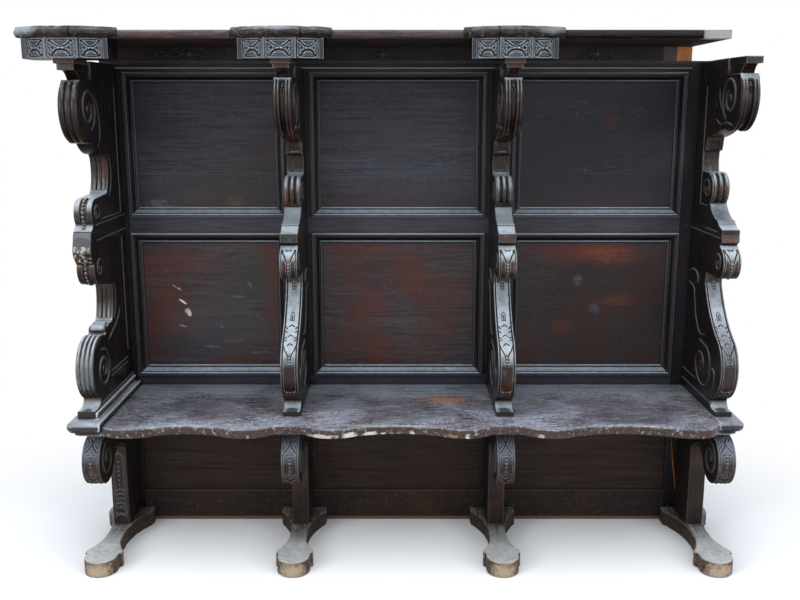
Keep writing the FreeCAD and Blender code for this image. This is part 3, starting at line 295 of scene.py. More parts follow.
carvedWalnut = walnut(
    "carvedWaxedWalnut", carved=True, grain=grainZ, dark="110b09", light="33221a", warm=("52301b", 0.6),
    bloom=("c2ced7", 1), bloomSpan=(0.18, 0.68), bloomBreak=0.6, rough=0.24, specular=0.25, coat=0.2,
    wear=("8c9397", 0.5), bump=0.3, scuff=("8a8985", 0.2), patchScale=14, grime=12, crest=0.85,
    rim=("dde4e8", 0.55),
    spots=[
        # dims the painted sheen on each wing's flare to a grey
        *onWings(8, 1108, 110, 170, 46, "4a4f50", 0.45, 0.35, 2.4),
        *onWings(-170, 1425, 60, 130, 110, "1b1310", 0.7, 0.5, 2.2),
        *onWings(-40, 1300, 60, 110, 60, "2c1f18", 0.5, 0.5, 2.2),
        (1002, -150, 690, 60, 220, 190, "2b2a2c", 0.7, 0.6, 2.2),
        # a pale bluish painted sheen on the left lower wing's reeds
        (-935, -195, 665, 60, 60, 120, "868b8f", 0.5, 0.5, 3),
        *onWings(-110, 507, 42, 60, 14, "2a2725", 0.9, 0.1, 1.3),
        (-937, -190, 528, 42, 60, 17, "2a2725", 0.9, 0.1, 1.3),
        (-937, -140, 1040, 42, 60, 24, "3c3b3d", 0.9, 0.2, 1.3),
        (1002, -20, 1130, 60, 120, 70, "2c2e33", 0.65, 0.5, 2),
        (1002, -150, 1440, 60, 200, 130, "1d1a19", 0.45, 0.5, 2),
        (-935, -180, 1430, 60, 150, 170, "1d1816", 0.8, 0.4, 1.6),
        # painted shade: a near-black patch on the pillow under the left upper volute, over the light it catches
        # from the floor
        (-935, -36, 1316, 60, 90, 40, "0d0a09", 1, 0.2, 1.3)])
# A fresh break in walnut: pale and fibrous, with old dirt and painted shade in the hollows
brokenWalnut = walnut(
    "brokenWalnutElbow", carved=True, grain=(90, 90, 40), dark="55493e", light="a3937c", warm=("3a2e26", 0.8),
    patchScale=40, bloom=("d5cfc2", 0.8), bloomSpan=(0, 0.7), rough=0.7, coat=0, wear=("d8cdb8", 0.9),
    dirt=("1b1512", 0.9), bump=0.5, grime=6)
# Carved walnut on sides and in shelter, where little shine reaches: a darker copy of the carved walnut with
# less sheen, its darkness painted shade
shadeWalnut = walnut(
    "carvedShadedWalnut", carved=True, grain=grainZ, dark="110d0d", light="241d1b", warm=("38261c", 0.45),
    bloom=("8b949c", 0.65), bloomSpan=(0.25, 0.9), rough=0.3, wear=("6a6663", 0.5), patchScale=12, grime=10)
friezeCarvingWalnut = walnut(
    "carvedDustyWalnutFrieze", carved=True, dark="1b1613", light="2f2824", warm=("33261f", 0.45),
    bloom=("605d5b", 0.8), bloomSpan=(0, 0.9), rough=0.45, wear=("5c554f", 0.6), grime=8)
sawnWalnut = walnut(
    "sawnWalnutWingSide", grain=grainZ, dark="100d0f", light="1f1a1b", warm=("33231a", 0.45),
    bloom=("8d959c", 0.75), rough=0.3, specular=0.18, wear=("5a595b", 0.5), patchScale=9, grime=60,
    bump=0.2)
carvedLegWalnut = walnut(
    "carvedDryWalnutLeg", carved=True, grain=grainZ, dark="1a1411", light="342822", warm=("4d3022", 0.6),
    bloom=("7f879a", 0.9), bloomSpan=(0.05, 0.7), rough=0.42, wear=("9c917f", 0.8), patchScale=12, grime=10,
    rim=("b3b4b4", 0.6))
sawnLegWalnut = walnut(
    "sawnWalnutLegSide", grain=grainZ, dark="151110", light="28211e", warm=("37261d", 0.45), rough=0.5,
    wear=("6e6257", 0.5), edge=2.4, patchScale=9, grime=60)
seatWalnut = walnut(
    "scuffedWalnutSeat", dark="241a1f", light="665459", warm=("5c372c", 0.6), edge=3.6, streak=(0.4, 0.64),
    grain=(7, 60, 90), patchScale=8, scuffScale=80, bloom=("a3b0c4", 0.78), patchy=0.92, bloomBreak=0.1,
    bloomRough=0.1, rough=0.34, coat=0.12, scuff=("cfd2d6", 0.55), speckAmount=0.9, speckScale=130,
    speckSides=0.1, wavy=0.4, wear=("c6bfb4", 1), bump=0.25, scratches=[14, -38, 62, 88], side=("42342d", 0.85),
    spots=[
        *[(x, -50, 506, wide, 170, 16, "33262a", 0.7, 0.7, 2.6)
          for x, wide in ((-600, 250), (20, 250), (710, 330))],
        *[(x, y, 506, wide, 90, 16, code, 0.5, 0.7, 3.4) for x, y, wide, code in (
            (-720, -40, 130, "5f7176"), (-560, -110, 150, "6b4438"), (-440, 30, 140, "3b2b33"),
            (-190, -20, 120, "4a5a60"), (-60, -120, 160, "463038"), (110, -90, 150, "5c6f76"),
            (250, -10, 130, "41313c"), (470, -60, 150, "55636e"), (640, 20, 180, "3c2c33"),
            (830, -50, 150, "463a44"))],
        (700, -150, 506, 330, 90, 16, "30282f", 0.65, 0.6, 3),
        # painted light: pale bluish patches brightening the rear of the seat, which the wings and panel shade
        *[(x, 150, 500, 460, 120, 20, "a3b2bd", 0.6, 0.7, 3) for x in (-640, 0, 690)],
        *[(x, 211, 500, 460, 8, 20, "a4b0b8", 0.8, 0.3, 1.8) for x in (-640, 0, 690)],
        (155, 50, 500, 115, 60, 40, "b97c54", 0.85, 0.6, 3.6),
        *[(x, -235, 478, half, 40, tall, code, 0.95, 0.3, 3.4) for x, half, tall, code in (
            (-216, 62, 11, "c9bfae"), (-144, 34, 14, "ded6c8"), (-80, 36, 10, "d9d0c0"),
            (-44, 16, 10, "d9d0c0"), (-7, 40, 10, "ded6c8"), (42, 18, 13, "d9d0c0"), (165, 26, 9, "8d6f4a"),
            (208, 16, 14, "ded6c8"), (425, 14, 9, "b3a896"))],
        *[(x, -215, 506, 240, 30, 20, "b3bcbd", 0.6, 0.6, 3) for x in (-640, 0, 680)]])
sillWalnut = walnut(
    "handledWalnutSill", carved=True, grain=grainY, dark="242124", light="484549", bloom=("b4bdc6", 0.9),
    bloomSpan=(0.1, 0.7), patchy=0.5, bloomBreak=0.5, rough=0.34, coat=0.15, wear=("c3c6c6", 1), wearTo=0.545,
    speckAmount=0.5, speckSides=0.3)
footWalnut = walnut(
    "wornWalnutFoot", carved=True, grain=grainY, dark="352620", light="665044", warm=("6a3c2c", 0.5),
    patchScale=14, scuffScale=70, bloom=("ccd2d1", 1), bloomSpan=(0.3, 0.8), bloomBreak=0.6, patchy=0.2,
    rough=0.6, coat=0, scuff=("d6c8b2", 0.45), speckAmount=0.5, wear=("c2b29c", 0.8),
    dirt=("2a211c", 0.9), bump=0.35,
    spots=[
        *onWings(-198, 20, 62, 46, 44, "c2ad93", 0.85, 0.45, 2.2),
        # painted shade: the back of each foot, under the seat, darker and without the sheen
        *onWings(140, 60, 150, 260, 120, "262120", 0.85, 0.6, 2.4)])
canopyWalnut = walnut(
    "dryWalnutCanopy", carved=True, dark="191514", light="332d2b", warm=("46302a", 0.45), patchScale=14,
    scuffScale=50, bloom=("a6abb4", 0.62), bloomSpan=(0.45, 1), patchy=0.9, bloomBreak=0.3, rough=0.5, coat=0,
    wear=("8c8884", 0.35), scuff=("8f8e8c", 0.3), bump=0.5, grime=12, speckAmount=0.3,
    spots=[
        (-1052, -190, 1650, 80, 120, 30, "9ba2a8", 0.75, 0.5, 2.4),
        (-345, -205, 1658, 105, 90, 20, "a0a7b2", 0.6, 0.5, 2.4),
        (430, -190, 1650, 60, 90, 24, "7f8285", 0.7, 0.5, 2.4),
        *[(x, -215, 1642, 3.6, 60, 60, "0c0a0a", 0.95, 0.15, 1.3) for x in (-906.6, -268.6, 281.1)]])
nosingWalnut = walnut(
    "dryWalnutNosing", carved=True, dark="2b2122", light="574849", warm=("523530", 0.7), patchScale=9,
    scuffScale=50, bloom=("a0a1a6", 0.7), bloomSpan=(0.3, 0.95), patchy=0.7, bloomBreak=0.5, rough=0.5, coat=0,
    wear=("7f7977", 0.4), scuff=("7f7b7b", 0.2), bump=0.4, grime=12,
    spots=[
        (640, -165, 1640, 360, 120, 90, "130e0f", 1, 0.2, 1.4),
        (965, -165, 1640, 70, 120, 60, "8a8886", 0.85, 0.3, 2)])
boardWalnut = walnut(
    "roughWalnutBoard", dark="211a18", light="383030", warm=("452f28", 0.45), rough=0.6, coat=0,
    wear=("6b6462", 0.5), edge=3, bump=0.6,
    spots=[(906, -141, 1640, 66, 60, 60, "9a9896", 0.95, 0.2, 2)])
blockWalnut = walnut(
    "carvedGreyWalnutBlock", carved=True, dark="20242b", light="40454f", warm=("393734", 0.4), patchScale=16,
    bloom=("98a1ab", 0.7), rough=0.3, coat=0.1, wear=("e4ebf0", 0.7), dirt=("07070a", 0.9), bump=0.2, grime=9,
    rim=("c4ccd3", 0.7), speckAmount=0.3,
    # painted shade on each block's two side bows
    spots=[(x, -150, 1596, 54, 90, 60, "23262b", 0.45, 0.4, 2) for x in (-1020, -848, -416, -240, 242, 420)])
plateWalnut = walnut(
    "dryWalnutPlate", dark="3c302a", light="5c4b40", warm=("5a3a2a", 0.45), rough=0.6, coat=0,
    wear=("8f8070", 0.5), bloom=("7d868e", 0.4))
beadWalnut = walnut(
    "rubbedWalnutBead", dark="1a1614", light="2c2622", rough=0.5, wear=("6c6663", 0),
    lines=[(1558.2, 1.6, "a59f92", 0.8)])
friezeWalnut = walnut(
    "waxedWalnutFrieze", dark="110e0b", light="221c19", rough=0.45, coat=0.05,
    spots=[
        (878, 219, 1603, 32, 60, 400, "4f4945", 0.9, 0.1, 1.1),
        (953, 219, 1603, 70, 60, 400, "c07a41", 1, 0.06, 1.05),
        (925, 219, 1600, 30, 60, 200, "8f5428", 0.6, 0.5, 2.6)])
print("materials made")


# an outline's corners are (reach, height, sag) in mm, up the front of a wing and back to the frame
def arcPoints(start, end, sag, step):
    start, end = np.array(start, float), np.array(end, float)
    chord = float(np.linalg.norm(end - start))
    along = (end - start) / chord
    out = np.array((along[1], -along[0]))
    if abs(sag) < 0.05:
        count = max(1, round(chord / step))
        return start + (end - start) * np.linspace(0, 1, count + 1)[:, None]
    radius = (chord * chord / 4 + sag * sag) / (2 * abs(sag))
    half = math.asin(min(1, chord / 2 / radius))
    if abs(sag) > chord / 2:
        half = math.pi - half
    count = max(2, round(2 * half * radius / step))
    turn = np.linspace(-half, half, count + 1)
    rise = math.copysign(1, sag) * (radius * np.cos(turn) - radius * math.cos(half))
    return (start + end) / 2 + np.outer(radius * np.sin(turn), along) + np.outer(rise, out)


def samplePath(corners, step):
    points, at = [np.array(corners[0][:2], float)], [0]
    for before, corner in zip(corners, corners[1:]):
        points.extend(arcPoints(before[:2], corner[:2], sum(corner[2:]), step)[1:])
        at.append(len(points) - 1)
    return np.array(points), at


def outwards(points):
    ahead = np.gradient(points, axis=0)
    ahead /= np.maximum(np.linalg.norm(ahead, axis=1), 1e-9)[:, None]
    return np.stack([ahead[:, 1], -ahead[:, 0]], axis=1)


# relief: s runs along the path, x across the board, both in mm
def nearLine(s, x, line):
    best = np.full(s.shape, 1e9)
    for (s0, x0), (s1, x1) in zip(line, line[1:]):
        ds, dx = s1 - s0, x1 - x0
        t = np.clip(((s - s0) * ds + (x - x0) * dx) / max(ds * ds + dx * dx, 1e-9), 0, 1)
        best = np.minimum(best, np.hypot(s - s0 - t * ds, x - x0 - t * dx))
    return best


def window(s, start, end, fade):
    return np.clip((s - start) / fade, 0, 1) * np.clip((end - s) / fade, 0, 1)


def rimOf(away, half):
    # 1 along the edge of a cut, fading over about a millimetre
    return 1 - np.abs(away * half - half - 0.9) / 1.3


def reliefHeight(features, s, x, wide):
    ground, raised, cut, rim = np.zeros((4, *s.shape))
    for kind, *feature in features:
        if kind == "field":             # sunk ground between two borders
            start, end, half, depth = feature
            ground -= depth * window(s, start, end, 3) * np.clip((half - np.abs(x)) / 1.2, 0, 1)
        elif kind == "reeds":           # rounded ribs with sharp quirks between them
            start, end, centres, half, height = feature
            rib = np.zeros(s.shape)
            for centre in centres:
                rib = np.maximum(rib, np.sqrt(np.clip(1 - ((x - centre) / half) ** 2, 0, 1)))
            inside = window(s, start, end, 8)
            ground -= height * inside
            raised = np.maximum(raised, 1.6 * height * rib * inside)
        elif kind in ("bead", "hole"):
            s0, x0, radius, height = feature
            for side in ((1, -1) if x0 else (1,)):
                away = np.hypot(s - s0, x - x0 * side) / radius
                if kind == "bead":
                    raised = np.maximum(raised, height * np.sqrt(np.clip(1 - away * away, 0, 1)))
                else:
                    cut = np.maximum(cut, height * np.clip(1.6 - 1.6 * away ** 3, 0, 1))
                    rim = np.maximum(rim, rimOf(away, radius))
        else:                           # a cut or a ridge along a line, mirrored unless it says once
            line, half, height, *once = feature
            mirrored = any(point[1] for point in line) and not once
            for side in ((1, -1) if mirrored else (1,)):
                away = nearLine(s, x, [(a, b * side) for a, b in line]) / half
                lift = height * np.sqrt(np.clip(1 - away * away, 0, 1))
                if kind == "cut":
                    cut = np.maximum(cut, lift)
                    rim = np.maximum(rim, rimOf(away, half))
                else:
                    raised = np.maximum(raised, lift)
    worn = np.clip(np.abs(x) - (wide - 2.2), 0, None)       # the arrises are rubbed round
    # how dark the material paints each point: painted shade in cuts and deep grounds
    depth = np.clip((cut - raised * 0.7) / 2.2, 0, 1) + np.clip(-(ground + raised) / 6, 0, 0.7)
    return ground + raised - cut - worn * worn * 0.28, np.clip(depth, 0, 1), np.where(cut > 0.3, 0, rim)


def makeMesh(name, points, faces, carving, material, flatMaterial=None, sharpAngle=40):
    mesh = bpy.data.meshes.new(name)
    mesh.from_pydata([tuple(p) for p in points], [], faces)
    mesh.update()
    if len(carving):
        for key, values in zip(("cut", "rim"), np.array(carving).T):
            mesh.attributes.new(key, "FLOAT", "POINT").data.foreach_set("value", values.tolist())
    mesh.materials.append(material)
    if flatMaterial:
        mesh.materials.append(flatMaterial)     # the sawn sides, each one large face
        for face in mesh.polygons:
            face.material_index = int(len(face.vertices) > 8)
    mesh.polygons.foreach_set("use_smooth", [True] * len(mesh.polygons))
    mesh.set_sharp_from_angle(angle=math.radians(sharpAngle))
    return linked(name, mesh)


def upright(x):
    # a board standing on edge: its outline is (reach, height), its thickness runs along X
    return lambda reach, height, across: (x + across, faceY - reach, height)


def lying(x, middle):
    # a block seen in plan: its outline is (sideways, reach), its thickness runs up
    return lambda sideways, reach, across: (x + sideways, faceY - reach, middle + across)


def boardMesh(corners, front, place, wide, features, step=1.6, columns=37):
    # points and faces of a board cut to an outline, with relief along its front from corner to corner
    points, at = samplePath(corners + [corners[0]], step)
    shown = slice(at[front[0]], at[front[1]] + 1)
    rows, normals = points[shown], outwards(points)[shown]
    length = np.concatenate([[0], np.cumsum(np.linalg.norm(np.diff(rows, axis=0), axis=1))])
    across = np.unique(np.concatenate([np.linspace(-wide, wide, columns), [-wide + 0.7, wide - 0.7]]))
    s, x = np.meshgrid(length, across, indexing="ij")
    height, depth, rim = reliefHeight(features, s, x, wide)
    first, second = [rows[:, k][:, None] + normals[:, k][:, None] * height for k in (0, 1)]
    grid = np.stack(place(first, second, x), axis=-1) * mm
    count, many = grid.shape[:2]
    out = [tuple(p) for p in grid.reshape(-1, 3)]
    faces = [(a, a + 1, a + many + 1, a + many)
             for i in range(count - 1) for a in range(i * many, (i + 1) * many - 1)]
    rest = corners[front[1] + 1:] + corners[:front[0]]
    base, last = len(out), len(out) + 2 * len(rest) - 2
    out += [tuple(c * mm for c in place(u, v, side)) for u, v, *_ in rest for side in (-wide, wide)]
    faces.append((*range(0, base, many), *range(base, last + 1, 2)))
    faces.append((*range(last + 1, base, -2), *range(base - 1, 0, -many)))
    faces += [(a, a + 1, a + 3, a + 2) for a in range(base, last, 2)]
    faces.append((*range(base - many, base), base + 1, base))
    faces.append((last, last + 1, *range(many - 1, -1, -1)))
    return out, faces, [*zip(depth.ravel(), rim.ravel())] + [(0, 0)] * (2 * len(rest))


def joined(parts):
    points, faces, carving = [], [], []
    for somePoints, someFaces, someCarving in parts:
        shift = len(points)
        points.extend(somePoints)
        faces.extend(tuple(i + shift for i in face) for face in someFaces)
        carving.extend(someCarving)
    return points, faces, carving


def finishPiece(piece, slot, *replaced):
    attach(piece, "root")
    if replaced:
        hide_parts(*replaced)
    return piece


strapUpper = {
    "corners": [
        (0, 1056), (303, 1056), (303, 1061), (251, 1084, -5), (171, 1129.3, -10), (192, 1171, 5.5),
        (140, 1223, 15.2), (80, 1224), (75, 1284, -5), (99, 1290), (109, 1330), (224, 1356, 4), (255, 1362.9),
        (293, 1355, 2), (388, 1450, 27.8), (359.3, 1518, 7.5), (346, 1518)],
    "neck": [(346, 1518), (385, 1544, -8)],
    "cap": (396, 1544, 1555),
    "carving": [
        ("ridge", [(60, -27), (60, 27)], 3, 2.2),
        ("reeds", 166, 292, (-17.5, 0, 17.5), 7.2, 3.4),
        ("cut", [(176, 22.5), (288, 22.5)], 1.5, 1.6),
        ("field", 352, 436, 20.5, 2.2),
        ("ridge", [(360, 9), (432, 13)], 1.8, 2.4),
        ("field", 440, 474, 15, 3.5),
        ("reeds", 600, 884, (-20.5, -11.5, 11.5, 20.5), 4.5, 3.4),
        ("field", 676, 880, 6.5, 4),
        ("bead", 862, 0, 5.5, 4.5),
        ("ridge", [(860, 0), (842, 0)], 2.4, 4),
    ],
}
reededUpper = {
    "corners": [
        (0, 1070), (343, 1070), (343, 1073), (329, 1082, -2), (321, 1092.7, -2), (331, 1121, 2.6),
        (286, 1166, 13.2), (173, 1172), (156, 1281, -12), (160, 1288), (166, 1293), (266, 1327, 11),
        (283, 1332.5), (305, 1330, 0.6), (403, 1428, 28.7), (357.1, 1511, 12.2), (331, 1511)],
    "neck": [(331, 1511), (383, 1537, -8)],
    "cap": (394, 1537, 1555),
    "carving": [
        ("field", 38, 140, 9, 3.5),
        ("ridge", [(36, 10.5), (142, 10.5)], 1.2, 1),
        ("reeds", 256, 366, (-14, 0, 14), 6.5, 2.2),
        ("reeds", 548, 776, (-17.5, 0, 17.5), 7.8, 3),
    ],
}


# half thicknesses of a wing, its neck and its cap, and how far the last two reach behind the nape
wingBoard = {"half": 27, "neck": 19, "cap": 24, "behind": 255}


def standing(name, node, x, corners, carving, *woods):
    # a board on edge, carved from its second corner to its last, then straight back to the frame
    board = boardMesh(corners + [(0, corners[-1][1])], (1, len(corners) - 1), upright(x),
                      wingBoard["half"], carving)
    finishPiece(makeMesh(name, *board, *woods), "carved_walnut", node)


def upperWing(name, pattern, lift=0, capRise=0, shoulder=0):
    corners, behind = pattern["corners"], wingBoard["behind"]
    place = upright(wingX[name])
    moved = [(r, z + lift if z > corners[0][1] + 1 else z, *sag) for r, z, *sag in corners]
    nape = moved[-1][1]
    capReach, capUnder, capTop = pattern["cap"]
    capUnder, top = capUnder + lift, capTop + lift + capRise
    moved += [(behind, nape), (behind, top + shoulder), (0, top + shoulder)]
    (footReach, footHeight), (neckReach, neckHeight, hollow) = pattern["neck"]
    neck = [(behind, nape), (footReach, footHeight + lift), (neckReach, neckHeight + lift, hollow),
            (neckReach, top - 0.3), (behind, top - 0.3)]
    cap = [(behind + 6, capUnder), (capReach - 1.5, capUnder), (capReach, capUnder + 1.5), (capReach, top - 2),
           (capReach - 2, top), (behind + 6, top)]
    parts = [boardMesh(moved, (1, len(corners) - 1), place, wingBoard["half"], pattern["carving"]),
             boardMesh(neck, (1, 2), place, wingBoard["neck"], [("field", 6, 40, 13, 1)], columns=15),
             boardMesh(cap, (1, 4), place, wingBoard["cap"], [], columns=15)]
    piece = makeMesh("carved_upper_wing_" + name, *joined(parts), carvedWalnut, sawnWalnut)
    finishPiece(piece, "carved_walnut", "upper_wing_" + name)


upperWing("left", reededUpper, shoulder=12.5)      # its back edge runs up beside the packing plate
upperWing("middle_left", strapUpper)
upperWing("middle_right", strapUpper)
upperWing("right", strapUpper, lift=12, capRise=10)
print("upper wings carved")


# rows of the carver's marks, each with the numbers that differ
def beads(*rows):
    return [("bead", s, 0, radius, height) for s, radius, height in rows]


def cuts(half, deep, *lines):
    return [("cut", line, half, deep) for line in lines]


strapLower = {
    "corners": [
        (0, 500), (345, 500), (345, 516), (312, 516), (295, 537, -4), (302, 545.1), (377, 645, 20.8),
        (319, 738.3, 15.7), (176, 890, -16), (180, 924), (286, 922), (334, 970, 14.1), (300, 1015.9, 9.4),
        (289, 1026), (306, 1036), (302, 1056)],
    "carving": [
        *cuts(1.7, 2.4, [(94, 21), (566, 21)], *[[(s - 9, 8.5), (s, 0)] for s in (401, 360, 322)]),
        *cuts(1.1, 1.6, [(550, 5.6), (526, 5.6)], [(448, 0), (440, 5.5), (414, 6)], [(436, 1.6), (414, 2)],
              [(276, 5.4), (254, 5.4)]),
        *cuts(1.8, 2.4, [(392, 17.5), (384, 13)], [(376, 18), (369, 12.5)], [(350, 18), (344, 12.5)],
              [(338, 18), (332, 12.5)], [(313, 19), (296, 14.5), (284, 7.5), (276, 5.4)]),
        *cuts(1.3, 1.8, [(160, 18), (152, 0)]), *cuts(1.5, 2, [(138, 0), (132, 9), (138, 17)]),
        *cuts(1.5, 2.2, [(700, 21.5), (824, 21.5)]), *cuts(1.6, 2.2, [(824, 9), (813, 4.5), (820, 0)]),
        *cuts(1.9, 2.6, [(820, 18), (805, 17), (790, 10.5), (774, 5.4)]),
        *cuts(1, 1.4, [(774, 5.4), (702, 5.2)]),
        ("bead", 152, 0.1, 3.6, 3), ("bead", 149, 11, 4.6, 3.4), ("bead", 112, 12, 3.6, 2.2),
        *beads((550, 4.2, 3.6), (539, 4.4, 3.8), (528, 3.6, 3.2), (279, 3.8, 3.6), (269, 4.2, 3.8),
               (259, 3.6, 3.2), (251, 2.8, 2.4), (118, 4, 2.4), (767, 3.4, 3.6), (757, 4, 3.6),
               *[(s, 4.2, 3.6) for s in (746, 735, 722)], (709, 4, 3.6)),
    ],
}
reededLower = {
    "corners": [
        (0, 516), (416, 516), (416, 540), (379, 540), (356, 555, -4), (354, 562.5), (412, 652, 15.8),
        (314, 750, 28.7), (300, 749, 0.3), (276, 744), (200, 770, 10), (177, 885, -9), (256, 900), (288, 905),
        (338, 955, 14.6), (335, 972.1, 0.8), (358, 996), (364, 1015), (346, 1070)],
    "carving": [
        ("reeds", 104, 372, (-20.2, -6.8, 6.8, 20.2), 6.2, 2.6),
        ("ridge", [(424, -13), (424, 13)], 17, 13), ("ridge", [(452, -12), (452, 12)], 10, 6),
        ("reeds", 492, 600, (-14, 0, 14), 6.5, 2.2),
        ("field", 712, 830, 9, 3.5), ("ridge", [(712, 10.5), (830, 10.5)], 1.2, 1),
        *[("cut", [(s, 0), (s, 27)], half, deep) for s, half, deep in (
            (403, 2.2, 3), (470, 2, 2.5), (846, 1.4, 2), (866, 1.2, 1.4))],
    ],
}


def lowerWing(name, pattern):
    standing("carved_lower_wing_" + name, "lower_wing_" + name, wingX[name], pattern["corners"],
             pattern["carving"], carvedWalnut, sawnWalnut)


lowerWing("left", reededLower)

# the left elbow has lost its face: a rough pale break with standing splinters
splintered = {
    "across": (-961.4, -908.6), "height": (976, 1034), "step": 1.5, "lump": 13, "deep": 300, "most": 378,
    "face": ((976, 996, 1015, 1034), (338, 357, 363, 356)),     # the wing's own face behind it
}


def splinters(name):
    (x0, x1), (z0, z1) = splintered["across"], splintered["height"]
    xs, zs = np.arange(x0, x1, splintered["step"]), np.arange(z0, z1, splintered["step"])
    points = []
    for x in xs:
        for z in zs:
            edge = min(x - x0, xs[-1] - x, z - z0, zs[-1] - z) / 7
            knob = noise.noise((x / 13, z / 11, 4)) + 0.55 * noise.noise((x / 5, z / 9, 9))
            rise = max(0, 0.3 + knob * 1.5) * splintered["lump"] * min(1, edge)
            reach = min(np.interp(z, *splintered["face"]) - 2 + rise, splintered["most"])
            points.append((x, faceY - reach, z))
    rows, deep = len(zs), len(points)
    for x, z in ((x0, z0), (xs[-1], z0), (xs[-1], zs[-1]), (x0, zs[-1])):
        points.append((x, faceY - splintered["deep"], z))
    faces = [(a, a + rows, a + rows + 1, a + 1)
             for i in range(len(xs) - 1) for a in range(i * rows, (i + 1) * rows - 1)]
    faces += [(*range(deep - rows, -1, -rows), deep, deep + 1),
              (*range(rows - 1, deep, rows), deep + 2, deep + 3), (*range(rows), deep + 3, deep),
              (*range(deep - 1, deep - rows - 1, -1), deep + 1, deep + 2), (deep, deep + 3, deep + 2, deep + 1)]
    points = [tuple(c * mm for c in point) for point in points]
    return finishPiece(makeMesh(name, points, faces, [], brokenWalnut, sharpAngle=30), "carved_walnut")


splinters("splintered_elbow")
for wing in ("middle_left", "middle_right", "right"):
    lowerWing(wing, strapLower)
print("lower wings carved")


console = {
    "corners": [(0, 52), (145, 52), (145, 330), (262, 334.5, -24), (335, 284, 13.9), (413, 362, 22.8),
                (345, 439.4, 19.4)],
    "top": {"left": 472, "middle_left": 472, "middle_right": 472, "right": 455},    # under seat or sill
    "carving": [
        *cuts(1.2, 1.6, [(512, 21), (744, 21)]),
        *cuts(1.8, 2.4, [(732, 16), (716, 5), (700, 0)], [(668, 17), (684, 6), (696, 0)]),
        *cuts(1.6, 2, [(722, 18), (704, 10)], [(682, 18), (694, 11)]), *cuts(1.4, 1.8, [(660, 12), (660, 5)]),
        *cuts(1.3, 2, [(614, 0), (602, 7), (588, 8), (580, 0)], [(600, 14), (584, 18), (568, 14), (560, 5)]),
        *cuts(1.4, 2, [(556, 0), (540, 8), (528, 17)], [(528, 0), (514, 7)]),
        *beads((655, 3.6, 2.8), (645, 4, 3.2), (634, 4.8, 3.8), (623, 3.4, 2.6), (596, 4.5, 2.4),
               (544, 4.2, 2.4)),
        ("bead", 572, 10, 4.2, 2.2), ("bead", 536, 13, 4, 2.2),
    ],
    "leftLeg": [
        *cuts(1.3, 1.8, [(28, 17), (232, 17), (248, 12), (256, 0)]),
        *cuts(1.2, 1.6, [(40, 0), (34, 8), (40, 15)]),
        *beads(*[(s, 4.2, 2) for s in range(60, 236, 16)]),
        *[("hole", s, 8.5, 2.6, 1.6) for s in range(60, 128, 16)],
    ],
}
for wing, top in console["top"].items():
    carving = console["carving"] + (console["leftLeg"] if wing == "left" else [])
    standing("carved_leg_" + wing, "seat_bracket_" + wing, wingX[wing], console["corners"] + [(335, top)],
             carving, carvedLegWalnut, sawnLegWalnut)
print("legs carved")


# scrolls and lines in relief on the sides of the wings are ribs swept along curves
def spiral(centre, outer, inner, turns, start, handed=-1):
    count = max(12, int(turns * 40))
    points = []
    for t in [k / count for k in range(count + 1)]:
        radius = outer + (inner - outer) * t
        angle = math.radians(start) + handed * turns * 2 * math.pi * t
        points.append((centre[0] + radius * math.cos(angle), centre[1] + radius * math.sin(angle)))
    return points


def smoothed(points, count=7):
    points = np.array(points, float)
    padded = np.vstack([2 * points[0] - points[1], points, 2 * points[-1] - points[-2]])
    out = []
    for k in range(1, len(padded) - 2):
        p0, p1, p2, p3 = padded[k - 1:k + 3]
        for t in np.linspace(0, 1, count, endpoint=False):
            out.append(0.5 * (2 * p1 + (p2 - p0) * t + (2 * p0 - 5 * p1 + 4 * p2 - p3) * t * t
                              + (3 * p1 - p0 - 3 * p2 + p3) * t ** 3))
    out.append(points[-1])
    return [tuple(p) for p in out]


def curveTree(name, inputs, build):
    # build sets something along the curve; the rest of the tree smooths it and gives it its wood
    tree = bpy.data.node_groups.new(name, "GeometryNodeTree")
    for label, kind in {"Geometry": "Geometry", **inputs, "Wood": "Material"}.items():
        tree.interface.new_socket(label, in_out="INPUT", socket_type="NodeSocket" + kind)
    tree.interface.new_socket("Geometry", in_out="OUTPUT", socket_type="NodeSocketGeometry")
    given = addNode(tree, "NodeGroupInput")
    real = addNode(tree, "GeometryNodeRealizeInstances", {"Geometry": build(tree, given)})
    smooth = addNode(tree, "GeometryNodeSetShadeSmooth", {"Geometry": real[0]})
    wood = addNode(tree, "GeometryNodeSetMaterial", {"Geometry": smooth[0], "Material": given["Wood"]})
    addNode(tree, "NodeGroupOutput", {"Geometry": wood[0]})
    return tree


def sweptRib(tree, given):
    rib = addNode(tree, "GeometryNodeCurvePrimitiveCircle", {
        "Resolution": given["Sides"], "Radius": given["Rib radius"]})
    width = addNode(tree, "GeometryNodeInputRadius")
    return addNode(tree, "GeometryNodeCurveToMesh", {
        "Curve": given["Geometry"], "Profile Curve": rib[0], "Fill Caps": True,
        "Scale": width[0]})[0]


def beadString(tree, given):
    path = addNode(tree, "GeometryNodeResampleCurve", {
        "Curve": given["Geometry"], "Length": given["Spacing"]}, mode="LENGTH")
    bead = addNode(tree, "GeometryNodeMeshIcoSphere", {"Radius": given["Bead radius"], "Subdivisions": 3})
    size = addNode(tree, "FunctionNodeRandomValue", {2: 0.88, 3: 1.08, "Seed": given["Seed"]})
    return addNode(tree, "GeometryNodeInstanceOnPoints", {
        "Points": path[0], "Instance": bead["Mesh"], "Scale": size[1]})[0]


